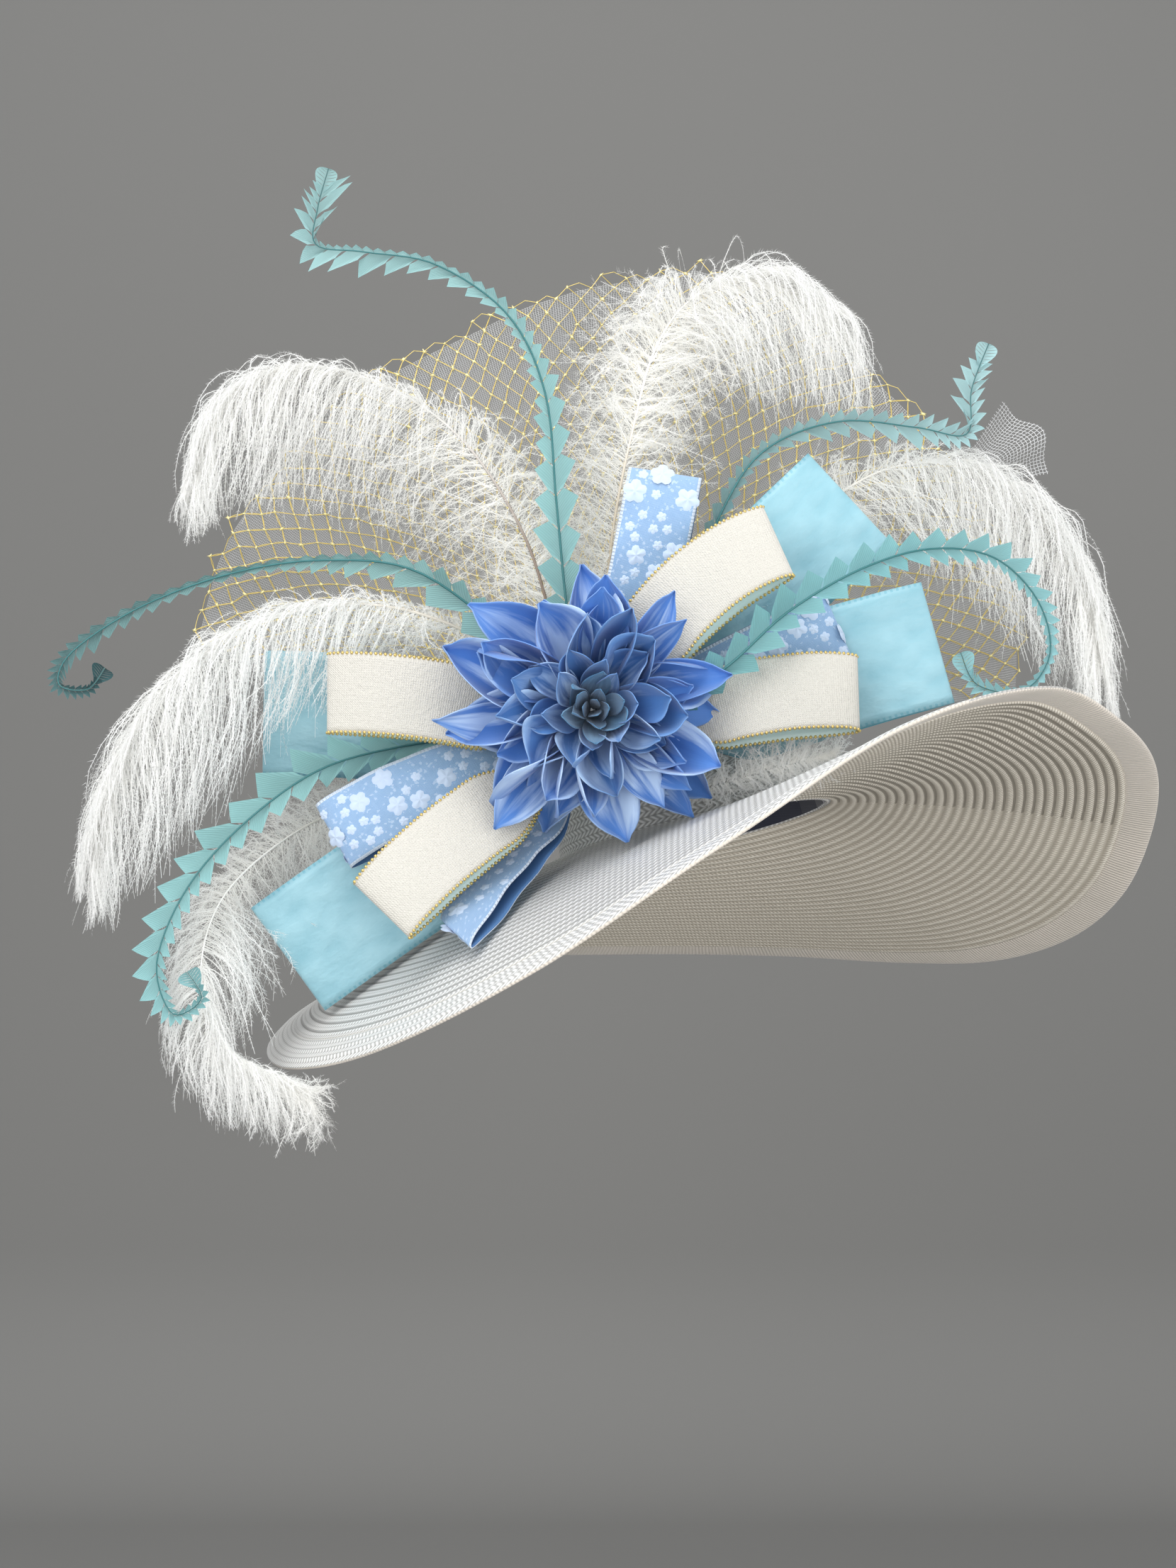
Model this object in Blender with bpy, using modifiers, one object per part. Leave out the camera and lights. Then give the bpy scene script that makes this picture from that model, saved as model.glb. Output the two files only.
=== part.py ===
"""A wide-brimmed sewn-braid dress hat with its trim of flower, ribbons, feathers and net.

Frame: metres, +Z up, origin at the middle of the head opening, +X to the front of the hat.
The hat leans as it is worn: the front is high, and the trimmed side (-Y) is a little raised.
"""
import math

import bmesh
import bpy
from mathutils import Matrix, Vector

MM = 0.001
GAP = 0.3 * MM                  # clearance between two pieces that touch

# The hat's lean: front up about the Y axis, trimmed side up about the X axis
FRONT_UP = math.radians(13)
SIDE_UP = math.radians(9)

# Head opening and crown
HEAD_LONG = 101 * MM            # half the crown's length at its foot, outside
HEAD_WIDE = 83 * MM             # half its width there
WALL = 2.0 * MM                 # sewn braid
CROWN_SIDES = 24
TIP_SEAM = 72                   # height_mm of the seam between the crown's side and its tip
CROWN_PROFILE = [
    # height_mm, share of the foot's size
    (112, 0.00),
    (110, 0.42),
    (102, 0.72),
    (86, 0.88),
    (72, 0.915),
    (58, 0.95),
    (28, 0.985),
    (-1, 1.00),
]
BAND_HEIGHT = 26 * MM
BAND_THICK = 1.2 * MM

# Brim
BRIM_THICK = 2.5 * MM
BRIM_SIDES = 48
BRIM_RINGS = 6
SEAM = 0.8 * MM                 # the brim's inner edge stands this far off the crown's foot
HEM_WIDE = 20 * MM
HEM_THICK = 4.0 * MM
BRIM_EDGE = [
    # angle_deg (0 front, -90 trimmed side), rise_mm of the edge, reach_mm, early: slope share at the crown
    (-180, -80, 234, 0.4),
    (-157, -108, 231, 0.5),
    (-135, -115, 227, 0.5),
    (-112, -94, 228, 0.5),
    (-90, -49, 231, 0.5),
    (-68, -2, 230, 0.6),
    (-45, 11, 226, 0.7),
    (-30, -12, 226, 0.7),
    (-15, -39, 227, 0.7),
    (0, -74, 223, 0.7),
    (15, -111, 220, 0.75),
    (30, -132, 220, 0.85),
    (45, -134, 219, 0.95),
    (60, -117, 220, 1.05),
    (80, -84, 223, 1.15),
    (100, -56, 228, 1.1),
    (120, -36, 232, 1.0),
    (140, -34, 234, 0.8),
    (160, -52, 235, 0.6),
]

# The hidden pad that holds the trim, a short post standing off the crown's trimmed side
PAD_X = -68 * MM
PAD_Z = 60 * MM
PAD_RADIUS = 32 * MM
PAD_BACK = -69.6 * MM
PAD_FRONT = -160 * MM
PAD_SIDES = 24

# Ribbons
RIBBON_THICK = 1.0 * MM
ROOT_WIDE = 14 * MM             # width gathered into the pad
ROOT_SPREAD = 1.3 * MM          # half the space between a loop's two ends
LOOP_STEPS = 14
ROLL_EASE = 0.35                # share of a loop's length over which it rolls from its root
SPREAD_EASE = 0.3               # and over which it spreads from the gathered width
SATIN_WIDE = 86 * MM
CREAM_WIDE = 52 * MM
FLORAL_WIDE = 50 * MM
RIBBONS = {
    # colour, roughness
    "satin": ((0.36, 0.68, 0.76, 1), 0.3),
    "cream": ((0.86, 0.83, 0.76, 1), 0.8),
    "floral": ((0.42, 0.58, 0.80, 1), 0.75),
}
LOOPS = [
    # name, ribbon, azimuth_deg, length_mm, root_y_mm, lean_deg to the viewer, power that delays
    # the lean, roll_deg, curl_deg, belly_mm
    ("satin_loop_left", "satin", 173.9, 237, -89, -2, 1, 0, 10, 10),
    ("satin_loop_lower_left", "satin", 213.8, 258, -102, 2, 1, 0, 4, 9),
    ("satin_loop_upper_right", "satin", 45.4, 245, -88, -3, 1, 4, -4, 8),
    ("satin_loop_right", "satin", 17.6, 240, -102, 0, 1, -5, -6, 8),
    ("floral_loop_left", "floral", 198.3, 191, -121, 6, 1, 14, 26, 11),
    ("floral_loop_bottom", "floral", 231.6, 152, -121, 34, 2.2, 54, 8, 6.5),
    ("floral_loop_top", "floral", 77.3, 191, -116, 0, 1, -4, 6, 8),
    ("floral_loop_right", "floral", 27.7, 179, -118, 0, 1, 4, -8, 5),
    ("cream_loop_left", "cream", 169.0, 186, -140, 6, 1, 4, 22, 15),
    ("cream_loop_lower_left", "cream", 216.5, 178, -141, 19.5, 1, 15, 22, 11.5),
    ("cream_loop_upper_right", "cream", 49.7, 185, -144, 3, 1, -14, -55, 15),
    ("cream_loop_right", "cream", 11.9, 173, -144, 3, 1, -18, -25, 13),
]

# Plumes: the quill's route from the pad, and the length of the barbs on each side there
PLUME_STEPS = 11
PLUME_THICK = 1.6 * MM
BARB_SWEEP = 0.55               # how far a lock leans to the feather's tip
LOCK_PUFF = (0.12, -0.22)       # locks stand back and forward of the quill in turn
QUILL_SHAFT = 2.2 * MM          # half the width of the strip along a feather's quill
RISING_HOLDS = 0.8              # share of its fall that a lock loses where it rises from the quill
FALL_STEERS = 0.5               # share of its own direction that a fully hanging lock gives up
LOCK_MIDDLE = 0.86              # a lock's width at its middle, as a share of its foot
LOCK_NARROWEST = 0.16           # and on the inside of a tight bend
LOCK_TIP = 0.3                  # its width at the tip, as a share of the middle's
PLUMES = {
    "plume_upper_left": [
        # x_mm, y_mm, z_mm, left barb_mm, right barb_mm, hang: how far the barbs fall
        (-90.4, -86, 84.4, 6, 6, 0.0),
        (-104, -78, 150, 56, 18, 0.1),
        (-126, -66, 216, 84, 34, 0.3),
        (-170, -54, 282, 92, 36, 0.6),
        (-230, -48, 322, 98, 24, 0.9),
        (-290, -58, 330, 102, 22, 1.0),
        (-334, -78, 298, 80, 36, 1.0),
        (-350, -94, 248, 48, 40, 0.9),
    ],
    "plume_upper_centre": [
        (-71, -86, 93, 6, 6, 0.0),
        (-67, -74, 150, 27, 32, 0.0),
        (-60, -58, 220, 50, 54, 0.1),
        (-46, -46, 290, 62, 62, 0.2),
        (-30, -36, 348, 64, 74, 0.4),
        (-2, -30, 386, 54, 98, 0.7),
        (44, -32, 398, 26, 108, 0.9),
        (94, -44, 370, 34, 82, 0.9),
    ],
    "plume_right": [
        (-38, -86, 75, 6, 6, 0.0),
        (2, -72, 120, 10, 10, 0.1),
        (62, -52, 206, 30, 40, 0.3),
        (126, -34, 258, 40, 84, 0.6),
        (190, -24, 266, 32, 108, 0.8),
        (242, -26, 238, 30, 108, 0.9),
        (274, -42, 182, 34, 88, 1.0),
        (282, -66, 118, 36, 56, 1.0),
    ],
    "plume_left": [
        (-96, -100, 77, 5, 5, 0.0),
        (-136, -112, 124, 16, 14, 0.1),
        (-196, -118, 152, 50, 13, 0.5),
        (-256, -120, 156, 82, 15, 0.8),
        (-316, -122, 136, 104, 22, 0.9),
        (-364, -128, 96, 106, 26, 1.0),
        (-394, -136, 42, 88, 34, 1.0),
        (-408, -142, -6, 52, 36, 0.9),
    ],
    "plume_lower_left": [
        (-99, -86, 50, 6, 6, 0.0),
        (-160, -66, 40, 22, 18, 0.1),
        (-220, -58, 28, 38, 32, 0.2),
        (-280, -68, 4, 50, 38, 0.3),
        (-326, -108, -40, 49, 36, 0.6),
        (-334, -150, -92, 62, 50, 0.8),
        (-310, -180, -138, 48, 52, 0.7),
        (-258, -198, -162, 24, 40, 0.4),
    ],
}

# Trimmed quills: the route from the pad, and how far the cut teeth reach
QUILL_STEPS = 11
QUILL_THICK = 1.0 * MM
SHARP_BEND = 0.15               # sine of a turn in one step; a tooth inside such a bend doesn't point ahead
QUILLS = {
    "quill_top": [
        # x_mm, y_mm, z_mm, tooth_mm
        (-80, -95, 90.5, 6),
        (-92, -98, 150, 14),
        (-100, -94, 228, 13),
        (-108, -86, 306, 12),
        (-134, -78, 362, 11),
        (-184, -74, 398, 11),
        (-234, -74, 407, 12),
        (-268, -74, 412, 12),
        (-267, -76, 436, 11),
        (-259, -78, 464, 2),
    ],
    "quill_upper_right": [
        (-56, -103, 90, 6),
        (-18, -102, 146, 12),
        (14, -101, 224, 14),
        (44, -94, 266, 12),
        (96, -78, 288, 11),
        (152, -66, 286, 11),
        (188, -62, 282, 11),
        (192, -60, 314, 11),
        (204, -60, 346, 2),
    ],
    "quill_right": [
        (-40, -147, 76, 5),
        (12, -167, 112, 13),
        (52, -160, 148, 16),
        (102, -144, 178, 15),
        (152, -124, 194, 13),
        (198, -108, 190, 12),
        (230, -98, 162, 11),
        (240, -92, 126, 10),
        (222, -90, 100, 9),
        (190, -92, 104, 8),
        (178, -94, 126, 2),
    ],
    "quill_left": [
        (-94.5, -112, 79, 6),
        (-132, -122, 132, 15),
        (-192, -126, 178, 15),
        (-254, -128, 186, 13),
        (-316, -132, 177, 12),
        (-376, -138, 154, 11),
        (-420, -144, 124, 10),
        (-428, -150, 102, 9),
        (-408, -154, 98, 8),
        (-396, -156, 112, 2),
    ],
    "quill_lower_left": [
        (-100.4, -105, 60, 6),
        (-160, -105, 66, 14),
        (-212, -108, 60, 15),
        (-262, -122, 44, 16),
        (-308, -146, 8, 15),
        (-342, -160, -34, 13),
        (-358, -174, -80, 12),
        (-346, -184, -112, 10),
        (-326, -190, -102, 8),
        (-334, -196, -84, 2),
    ],
}

# Net standing behind the feathers, a gathered fan of diamond mesh
NET_THICK = 1.5 * MM
NET_CELL = 47 * MM              # along one side of a diamond
NET_STRAND = 0.13               # share of a cell's side taken by its strand, each side
NET_FROM, NET_TO = math.radians(8), math.radians(166)
NET_INNER = 60 * MM             # nearest cells to the pad, before they are gathered
NET_ACROSS = 8                  # cells each way from the middle of the flat piece
FLAT_MIDDLE = 190 * MM          # radius of the flat piece's middle
FAN_RADIUS = 235 * MM           # radius at which a cell keeps its width when the piece is fanned
GATHER_OVER = 120 * MM          # stretch in which the cells close up to the pad
CROWN_SIDE = math.radians(36)   # nearer the front than this the net keeps off the crown
CROWN_CLEAR = 175 * MM
NET_FOLDS = 14
FOLD_DEEP = 9 * MM
NET_ROOT_Y = -84 * MM
NET_BACK = 106 * MM             # how far its outer part stands behind the root
NET_BACK_FROM, NET_BACK_OVER = 24 * MM, 163 * MM
NET_OUTLINE = [
    # azimuth_deg, radius_mm of the net's edge
    (8, 322),
    (25, 338),
    (45, 344),
    (62, 356),
    (79, 372),
    (88, 356),
    (96, 344),
    (106, 334),
    (117, 328),
    (135, 324),
    (154, 325),
    (166, 320),
]

# Flower: each layer of petals is one stamped and cupped whorl on the stem
FLOWER_X = -76 * MM
FLOWER_Z = 84 * MM
PETAL_THICK = 1.0 * MM
PETAL_APART = 0.8 * MM          # half the clearance between two petals of one whorl
PETAL_STATIONS = [
    # share of the way to the tip, share of the half width, share of the cup
    (0.4, 0.85, 0.5),
    (0.75, 1.0, 1.0),
    (1.0, 0.12, 0.4),
]
PETALS = [
    # petals, stem_radius_mm, from_front_mm, tip_radius_mm, tip_forward_mm, cup_mm, half_width_mm, turn_deg
    (10, 12, 0.9, 92.5, 10, 4, 20, 18),
    (10, 11, 2.5, 86, 20, 4, 19, 0),
    (9, 10, 4.1, 74, 29, 4, 18, 5),
    (9, 9, 5.7, 60, 36, 4, 16, 26),
    (8, 8, 7.3, 45, 42, 3, 13, 8),
    (7, 7, 8.9, 30, 45, 3, 10, 30),
]
BUD_RADIUS = 11 * MM
BUD_OFF = 0.9 * MM              # from the last whorl's middle surface


def clear_scene():
    for obj in list(bpy.data.objects):
        bpy.data.objects.remove(obj, do_unlink=True)


def material(name, colour, roughness):
    made = bpy.data.materials.new(name)
    made.use_nodes = True
    shader = made.node_tree.nodes["Principled BSDF"]
    shader.inputs["Base Color"].default_value = colour
    shader.inputs["Roughness"].default_value = roughness
    return made


def add_object(name, bm, colour, roughness, wall=0, offset=0):
    """Turns a bmesh into a named object of the hat; an open sheet gets its wall from Solidify."""
    mesh = bpy.data.meshes.new(name)
    bm.to_mesh(mesh)
    bm.free()
    obj = bpy.data.objects.new(name, mesh)
    bpy.data.collections["church_hat"].objects.link(obj)
    mesh.materials.append(material(name, colour, roughness))
    mesh.shade_smooth()
    mesh.set_sharp_from_angle(angle=math.radians(40))
    if wall:
        shell = obj.modifiers.new("wall", "SOLIDIFY")
        shell.thickness = wall
        shell.offset = offset
    return obj


def lean(point):
    """Places a point of the level hat as the hat is worn."""
    turned = Matrix.Rotation(-SIDE_UP, 3, "X") @ Vector(point)
    return Matrix.Rotation(-FRONT_UP, 3, "Y") @ turned


def smooth_share(t):
    t = min(max(t, 0.0), 1.0)
    return t * t * (3 - 2 * t)


def between(rows, column, position):
    """Catmull-Rom value of a column at a position from 0, the first row, to 1, the last."""
    spot = min(max(position, 0.0), 1.0) * (len(rows) - 1)
    index = min(int(spot), len(rows) - 2)
    t = spot - index
    picks = [rows[min(max(index + step, 0), len(rows) - 1)][column] for step in (-1, 0, 1, 2)]
    before, here, there, after = picks
    return 0.5 * (
        2 * here
        + (there - before) * t
        + (2 * before - 5 * here + 4 * there - after) * t**2
        + (3 * here - before - 3 * there + after) * t**3
    )


def round_table(rows, column, angle):
    """Smooth value of a column of a table whose first column is an angle round the whole turn."""
    angle = (angle + 180) % 360 - 180
    count = len(rows)
    index = max(i for i in range(count) if rows[i][0] <= angle)
    ring = [rows[(index + step) % count] for step in (-1, 0, 1, 2)]
    span = [(ring[i + 1][0] - ring[i][0]) % 360 for i in range(3)]
    t = (angle - ring[1][0]) / span[1]
    values = [row[column] for row in ring]
    slope_here = (values[2] - values[0]) / (span[0] + span[1]) * span[1]
    slope_there = (values[3] - values[1]) / (span[1] + span[2]) * span[1]
    return (
        (2 * t**3 - 3 * t**2 + 1) * values[1]
        + (t**3 - 2 * t**2 + t) * slope_here
        + (3 * t**2 - 2 * t**3) * values[2]
        + (t**3 - t**2) * slope_there
    )


def brim_point(angle_deg, reach):
    """A point of the brim's middle surface: reach 0 at the crown, 1 at the outer edge."""
    angle = math.radians(angle_deg)
    rise = round_table(BRIM_EDGE, 1, angle_deg) * MM
    wide = round_table(BRIM_EDGE, 2, angle_deg) * MM * reach
    early = round_table(BRIM_EDGE, 3, angle_deg)
    share = early * reach + (1 - early) * reach**2
    return lean((
        (HEAD_LONG + SEAM + wide) * math.cos(angle),
        (HEAD_WIDE + SEAM + wide) * math.sin(angle),
        rise * share,
    ))


def grid_sheet(columns, rows, place, joined=False):
    """A grid whose corner at (u, v), both 0 to 1, goes to place(u, v); joined closes u on itself."""
    bm = bmesh.new()
    bmesh.ops.create_grid(bm, x_segments=columns, y_segments=rows, size=0.5)
    for vert in bm.verts:
        vert.co = place(vert.co.x + 0.5, vert.co.y + 0.5)
    if joined:
        bmesh.ops.remove_doubles(bm, verts=bm.verts, dist=0.01 * MM)
    bmesh.ops.recalc_face_normals(bm, faces=bm.faces)
    return bm


def turned_wall(profile, joined_top):
    """A turned sheet from (radius share, height) rows, made oval to the head and leaned."""
    bm = bmesh.new()
    verts = [bm.verts.new((share * HEAD_LONG, 0, height)) for share, height in profile]
    edges = [bm.edges.new(pair) for pair in zip(verts, verts[1:])]
    bmesh.ops.spin(
        bm,
        geom=verts + edges,
        axis=(0, 0, 1),
        angle=2 * math.pi,
        steps=CROWN_SIDES,
        use_merge=True,
    )
    if joined_top:
        bmesh.ops.remove_doubles(bm, verts=bm.verts, dist=0.01 * MM)
    bmesh.ops.recalc_face_normals(bm, faces=bm.faces)
    for vert in bm.verts:
        vert.co = lean((vert.co.x, vert.co.y * HEAD_WIDE / HEAD_LONG, vert.co.z))
    return bm


def crown():
    """The crown's tip and its side meet at a seam, with half of the gap on either side of it."""
    tip = [(share, height * MM) for height, share in CROWN_PROFILE if height >= TIP_SEAM]
    side = [(share, height * MM) for height, share in CROWN_PROFILE if height <= TIP_SEAM]
    tip[-1] = (tip[-1][0], tip[-1][1] + GAP / 2)
    side[0] = (side[0][0], side[0][1] - GAP / 2)
    colour = (0.9, 0.89, 0.86, 1)
    add_object("crown_tip", turned_wall(tip, True), colour, 0.5, WALL, -1)
    add_object("crown", turned_wall(side, False), colour, 0.5, WALL, -1)


def sweatband():
    outside = (HEAD_LONG - WALL - 2 * GAP) / HEAD_LONG
    profile = [(outside * 0.985, BAND_HEIGHT), (outside, 0)]
    bm = turned_wall(profile, False)
    add_object("sweatband", bm, (0.01, 0.015, 0.04, 1), 0.6, BAND_THICK, -1)


def brim():
    inner_hem = 1 - HEM_WIDE / (228 * MM)
    last = inner_hem - GAP / (228 * MM)

    def body(u, v):
        return brim_point(360 * u, last * v)

    def band(u, v):
        return brim_point(360 * u, inner_hem + (1 - inner_hem) * v)

    colour = (0.9, 0.89, 0.86, 1)
    add_object("brim", grid_sheet(BRIM_SIDES, BRIM_RINGS, body, True), colour, 0.45, BRIM_THICK)
    add_object("brim_hem", grid_sheet(BRIM_SIDES, 1, band, True), colour, 0.5, HEM_THICK)


def trim_base():
    """A round post behind the flower, its back face just clear of the crown."""
    middle = Matrix.Translation((PAD_X, (PAD_BACK + PAD_FRONT) / 2, PAD_Z))
    bm = bmesh.new()
    bmesh.ops.create_cone(
        bm,
        cap_ends=True,
        segments=PAD_SIDES,
        radius1=PAD_RADIUS,
        radius2=PAD_RADIUS,
        depth=PAD_BACK - PAD_FRONT,
        matrix=middle @ Matrix.Rotation(math.radians(90), 4, "X"),
    )
    add_object("trim_base", bm, (0.85, 0.85, 0.82, 1), 0.9)


def loop_sheet(azimuth, length, root_y, toward, late, roll, curl, belly, wide):
    """A ribbon gathered at the pad, carried out, folded round and brought back to the pad."""
    start = PAD_RADIUS + 2 * GAP
    first = start / length
    steps = 24

    def place(u, v):
        turn = 2 * math.pi * u
        reach = first + (1 - first) * (1 - math.cos(turn)) / 2
        apart = belly * math.sin(turn) * math.sin(turn / 2) ** 1.2 + ROOT_SPREAD * math.cos(turn / 2)
        along = Vector()
        for step in range(steps):
            heading = azimuth + curl * ((step + 0.5) / steps * reach - 0.5)
            along += Vector((math.cos(heading), 0, math.sin(heading))) * length * reach / steps
        heading = azimuth + curl * (reach - 0.5)
        side = Vector((-math.sin(heading), 0, math.cos(heading)))
        viewer = Vector((0, -1, 0))
        eased = roll * smooth_share((reach - first) / ROLL_EASE)
        across = side * math.cos(eased) + viewer * math.sin(eased)
        thick = viewer * math.cos(eased) - side * math.sin(eased)
        gathered = ROOT_WIDE + (wide - ROOT_WIDE) * smooth_share((reach - first) / SPREAD_EASE)
        out = max(along.length - start, 0) / (length - start)
        root = Vector((PAD_X, root_y, PAD_Z)) + viewer * math.tan(toward) * (length - start) * out**late
        return root + along + thick * apart + across * gathered * (v - 0.5)

    return grid_sheet(LOOP_STEPS, 1, place)


def ribbon_loops():
    widths = {"satin": SATIN_WIDE, "cream": CREAM_WIDE, "floral": FLORAL_WIDE}
    for name, ribbon, azimuth, length, root_y, toward, late, roll, curl, belly in LOOPS:
        bm = loop_sheet(
            math.radians(azimuth),
            length * MM,
            root_y * MM,
            math.radians(toward),
            late,
            math.radians(roll),
            math.radians(curl),
            belly * MM,
            widths[ribbon],
        )
        colour, roughness = RIBBONS[ribbon]
        add_object(name, bm, colour, roughness, RIBBON_THICK)


def route_point(rows, position):
    return Vector([between(rows, column, position) for column in range(3)]) * MM


def route_frame(rows, position):
    """The route's point, its direction, and the direction of its left side as seen from the front."""
    here = route_point(rows, position)
    ahead = route_point(rows, position + 0.01) - route_point(rows, position - 0.01)
    ahead.normalize()
    left = Vector((0, -1, 0)).cross(ahead).normalized()
    return here, ahead, left


def feather_strip(rows, steps, half_wide):
    """The flat strip along a feather's quill, and its pairs of edges at each step, left and right."""
    bm = bmesh.new()
    last = []
    sides = []
    for step in range(steps + 1):
        here, ahead, left = route_frame(rows, step / steps)
        row = [bm.verts.new(here + left * half_wide), bm.verts.new(here - left * half_wide)]
        if last:
            bm.faces.new((last[0], last[1], row[1], row[0]))
            sides.append(((last[0], row[0]), (last[1], row[1])))
        last = row
    return bm, sides


def grow(bm, pair, targets):
    """Extrudes the edge between two corners and moves the new corners to the targets."""
    edge = bm.edges.get(pair)
    made = bmesh.ops.extrude_edge_only(bm, edges=[edge])["geom"]
    new = [item for item in made if isinstance(item, bmesh.types.BMVert)]
    new.sort(key=lambda vert: (vert.co - pair[0].co).length)
    new[0].co, new[1].co = targets
    return new[0], new[1]


def plume(name, rows):
    """An ostrich plume: each side of its quill carries locks of barbs that bow out and hang."""
    bm, sides = feather_strip(rows, PLUME_STEPS, QUILL_SHAFT)
    for step, pairs in enumerate(sides):
        position = (step + 0.5) / PLUME_STEPS
        here, ahead, left = route_frame(rows, position)
        turn = route_frame(rows, (step + 1) / PLUME_STEPS)[1] - route_frame(rows, step / PLUME_STEPS)[1]
        hang = between(rows, 5, position)
        for side, pair in zip((1, -1), pairs):
            barb = between(rows, 3 if side == 1 else 4, position) * MM
            out = (left * side + ahead * BARB_SWEEP).normalized()
            puff = Vector((0, LOCK_PUFF[step % 2], 0))
            fall = Vector((0, -0.1, -1)) * hang * (1 - RISING_HOLDS * max(out.z, 0))
            out *= 1 - FALL_STEERS * hang
            middle = (out + puff + fall * 0.6).normalized() * barb * 0.55
            tip = middle + (out * 0.5 + ahead * 0.2 + puff + fall).normalized() * barb * 0.5
            base = (pair[0].co + pair[1].co) / 2
            half = (pair[1].co - pair[0].co) / 2
            closing = max(turn.dot(left * side), 0) * middle.length / (2 * half.length)
            share = max(LOCK_MIDDLE * (1 - closing), LOCK_NARROWEST)
            pair = grow(bm, pair, (base + middle - half * share, base + middle + half * share))
            share *= LOCK_TIP
            grow(bm, pair, (base + tip - half * share, base + tip + half * share))
    bmesh.ops.recalc_face_normals(bm, faces=bm.faces)
    add_object(name, bm, (0.9, 0.9, 0.88, 1), 0.9, PLUME_THICK)


def trimmed_quill(name, rows):
    """A stiff quill whose vanes are cut to arrow teeth that point to the tip."""
    bm, sides = feather_strip(rows, QUILL_STEPS, 1.2 * MM)
    for step, pairs in enumerate(sides):
        near_frame = route_frame(rows, step / QUILL_STEPS)
        far_frame = route_frame(rows, (step + 1) / QUILL_STEPS)
        tooth = between(rows, 3, (step + 0.5) / QUILL_STEPS) * MM
        for side, pair in zip((1, -1), pairs):
            bends_in = (far_frame[1] - near_frame[1]).dot(near_frame[2]) * side > SHARP_BEND
            point = 0 if bends_in else 0.3
            near = pair[0].co + (near_frame[2] * side * 0.25 + near_frame[1] * 0.2) * tooth
            far = pair[1].co + (far_frame[2] * side + far_frame[1] * point) * tooth
            grow(bm, pair, (near, far))
    bmesh.ops.recalc_face_normals(bm, faces=bm.faces)
    add_object(name, bm, (0.30, 0.58, 0.60, 1), 0.7, QUILL_THICK)


def net_radius(azimuth):
    """The net's outer edge at an azimuth, straight between the outline's rows."""
    degrees = math.degrees(azimuth)
    for (low, near), (high, far) in zip(NET_OUTLINE, NET_OUTLINE[1:]):
        if low <= degrees <= high:
            return (near + (far - near) * (degrees - low) / (high - low)) * MM
    return 0.0


def veil_net():
    """A fan of diamond mesh, gathered at the pad and rising in soft folds behind the feathers."""
    bm = bmesh.new()
    bmesh.ops.create_grid(bm, x_segments=2 * NET_ACROSS, y_segments=2 * NET_ACROSS, size=NET_ACROSS)
    bmesh.ops.rotate(bm, verts=bm.verts, matrix=Matrix.Rotation(math.radians(45), 3, "Z"))

    def fan(co):
        azimuth = (NET_FROM + NET_TO) / 2 - co.x * NET_CELL / FAN_RADIUS
        return azimuth, FLAT_MIDDLE + co.y * NET_CELL

    outside = []
    for face in bm.faces:
        azimuth, radius = fan(face.calc_center_median())
        clear_of_crown = radius > CROWN_CLEAR or azimuth > CROWN_SIDE
        inside = NET_FROM < azimuth < NET_TO and NET_INNER < radius < net_radius(azimuth)
        if not (inside and clear_of_crown):
            outside.append(face)
    bmesh.ops.delete(bm, geom=outside, context="FACES")
    cells = bmesh.ops.inset_individual(bm, faces=list(bm.faces), thickness=NET_STRAND, use_even_offset=True)
    holes = [face for face in bm.faces if face not in set(cells["faces"])]
    bmesh.ops.delete(bm, geom=holes, context="FACES_ONLY")
    nearest = min(fan(vert.co)[1] for vert in bm.verts)
    gathered = nearest - PAD_RADIUS - 1.5 * GAP
    for vert in bm.verts:
        azimuth, radius = fan(vert.co)
        radius -= gathered * (1 - smooth_share((radius - nearest) / GATHER_OVER))
        fold = FOLD_DEEP * math.sin(azimuth * NET_FOLDS) * radius / (350 * MM)
        back = NET_ROOT_Y + NET_BACK * smooth_share((radius - NET_BACK_FROM) / NET_BACK_OVER)
        vert.co = (
            PAD_X + radius * math.cos(azimuth),
            back + fold,
            PAD_Z + radius * math.sin(azimuth),
        )
    bmesh.ops.recalc_face_normals(bm, faces=bm.faces)
    add_object("veil_net", bm, (0.62, 0.50, 0.18, 1), 0.4, NET_THICK)


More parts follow.
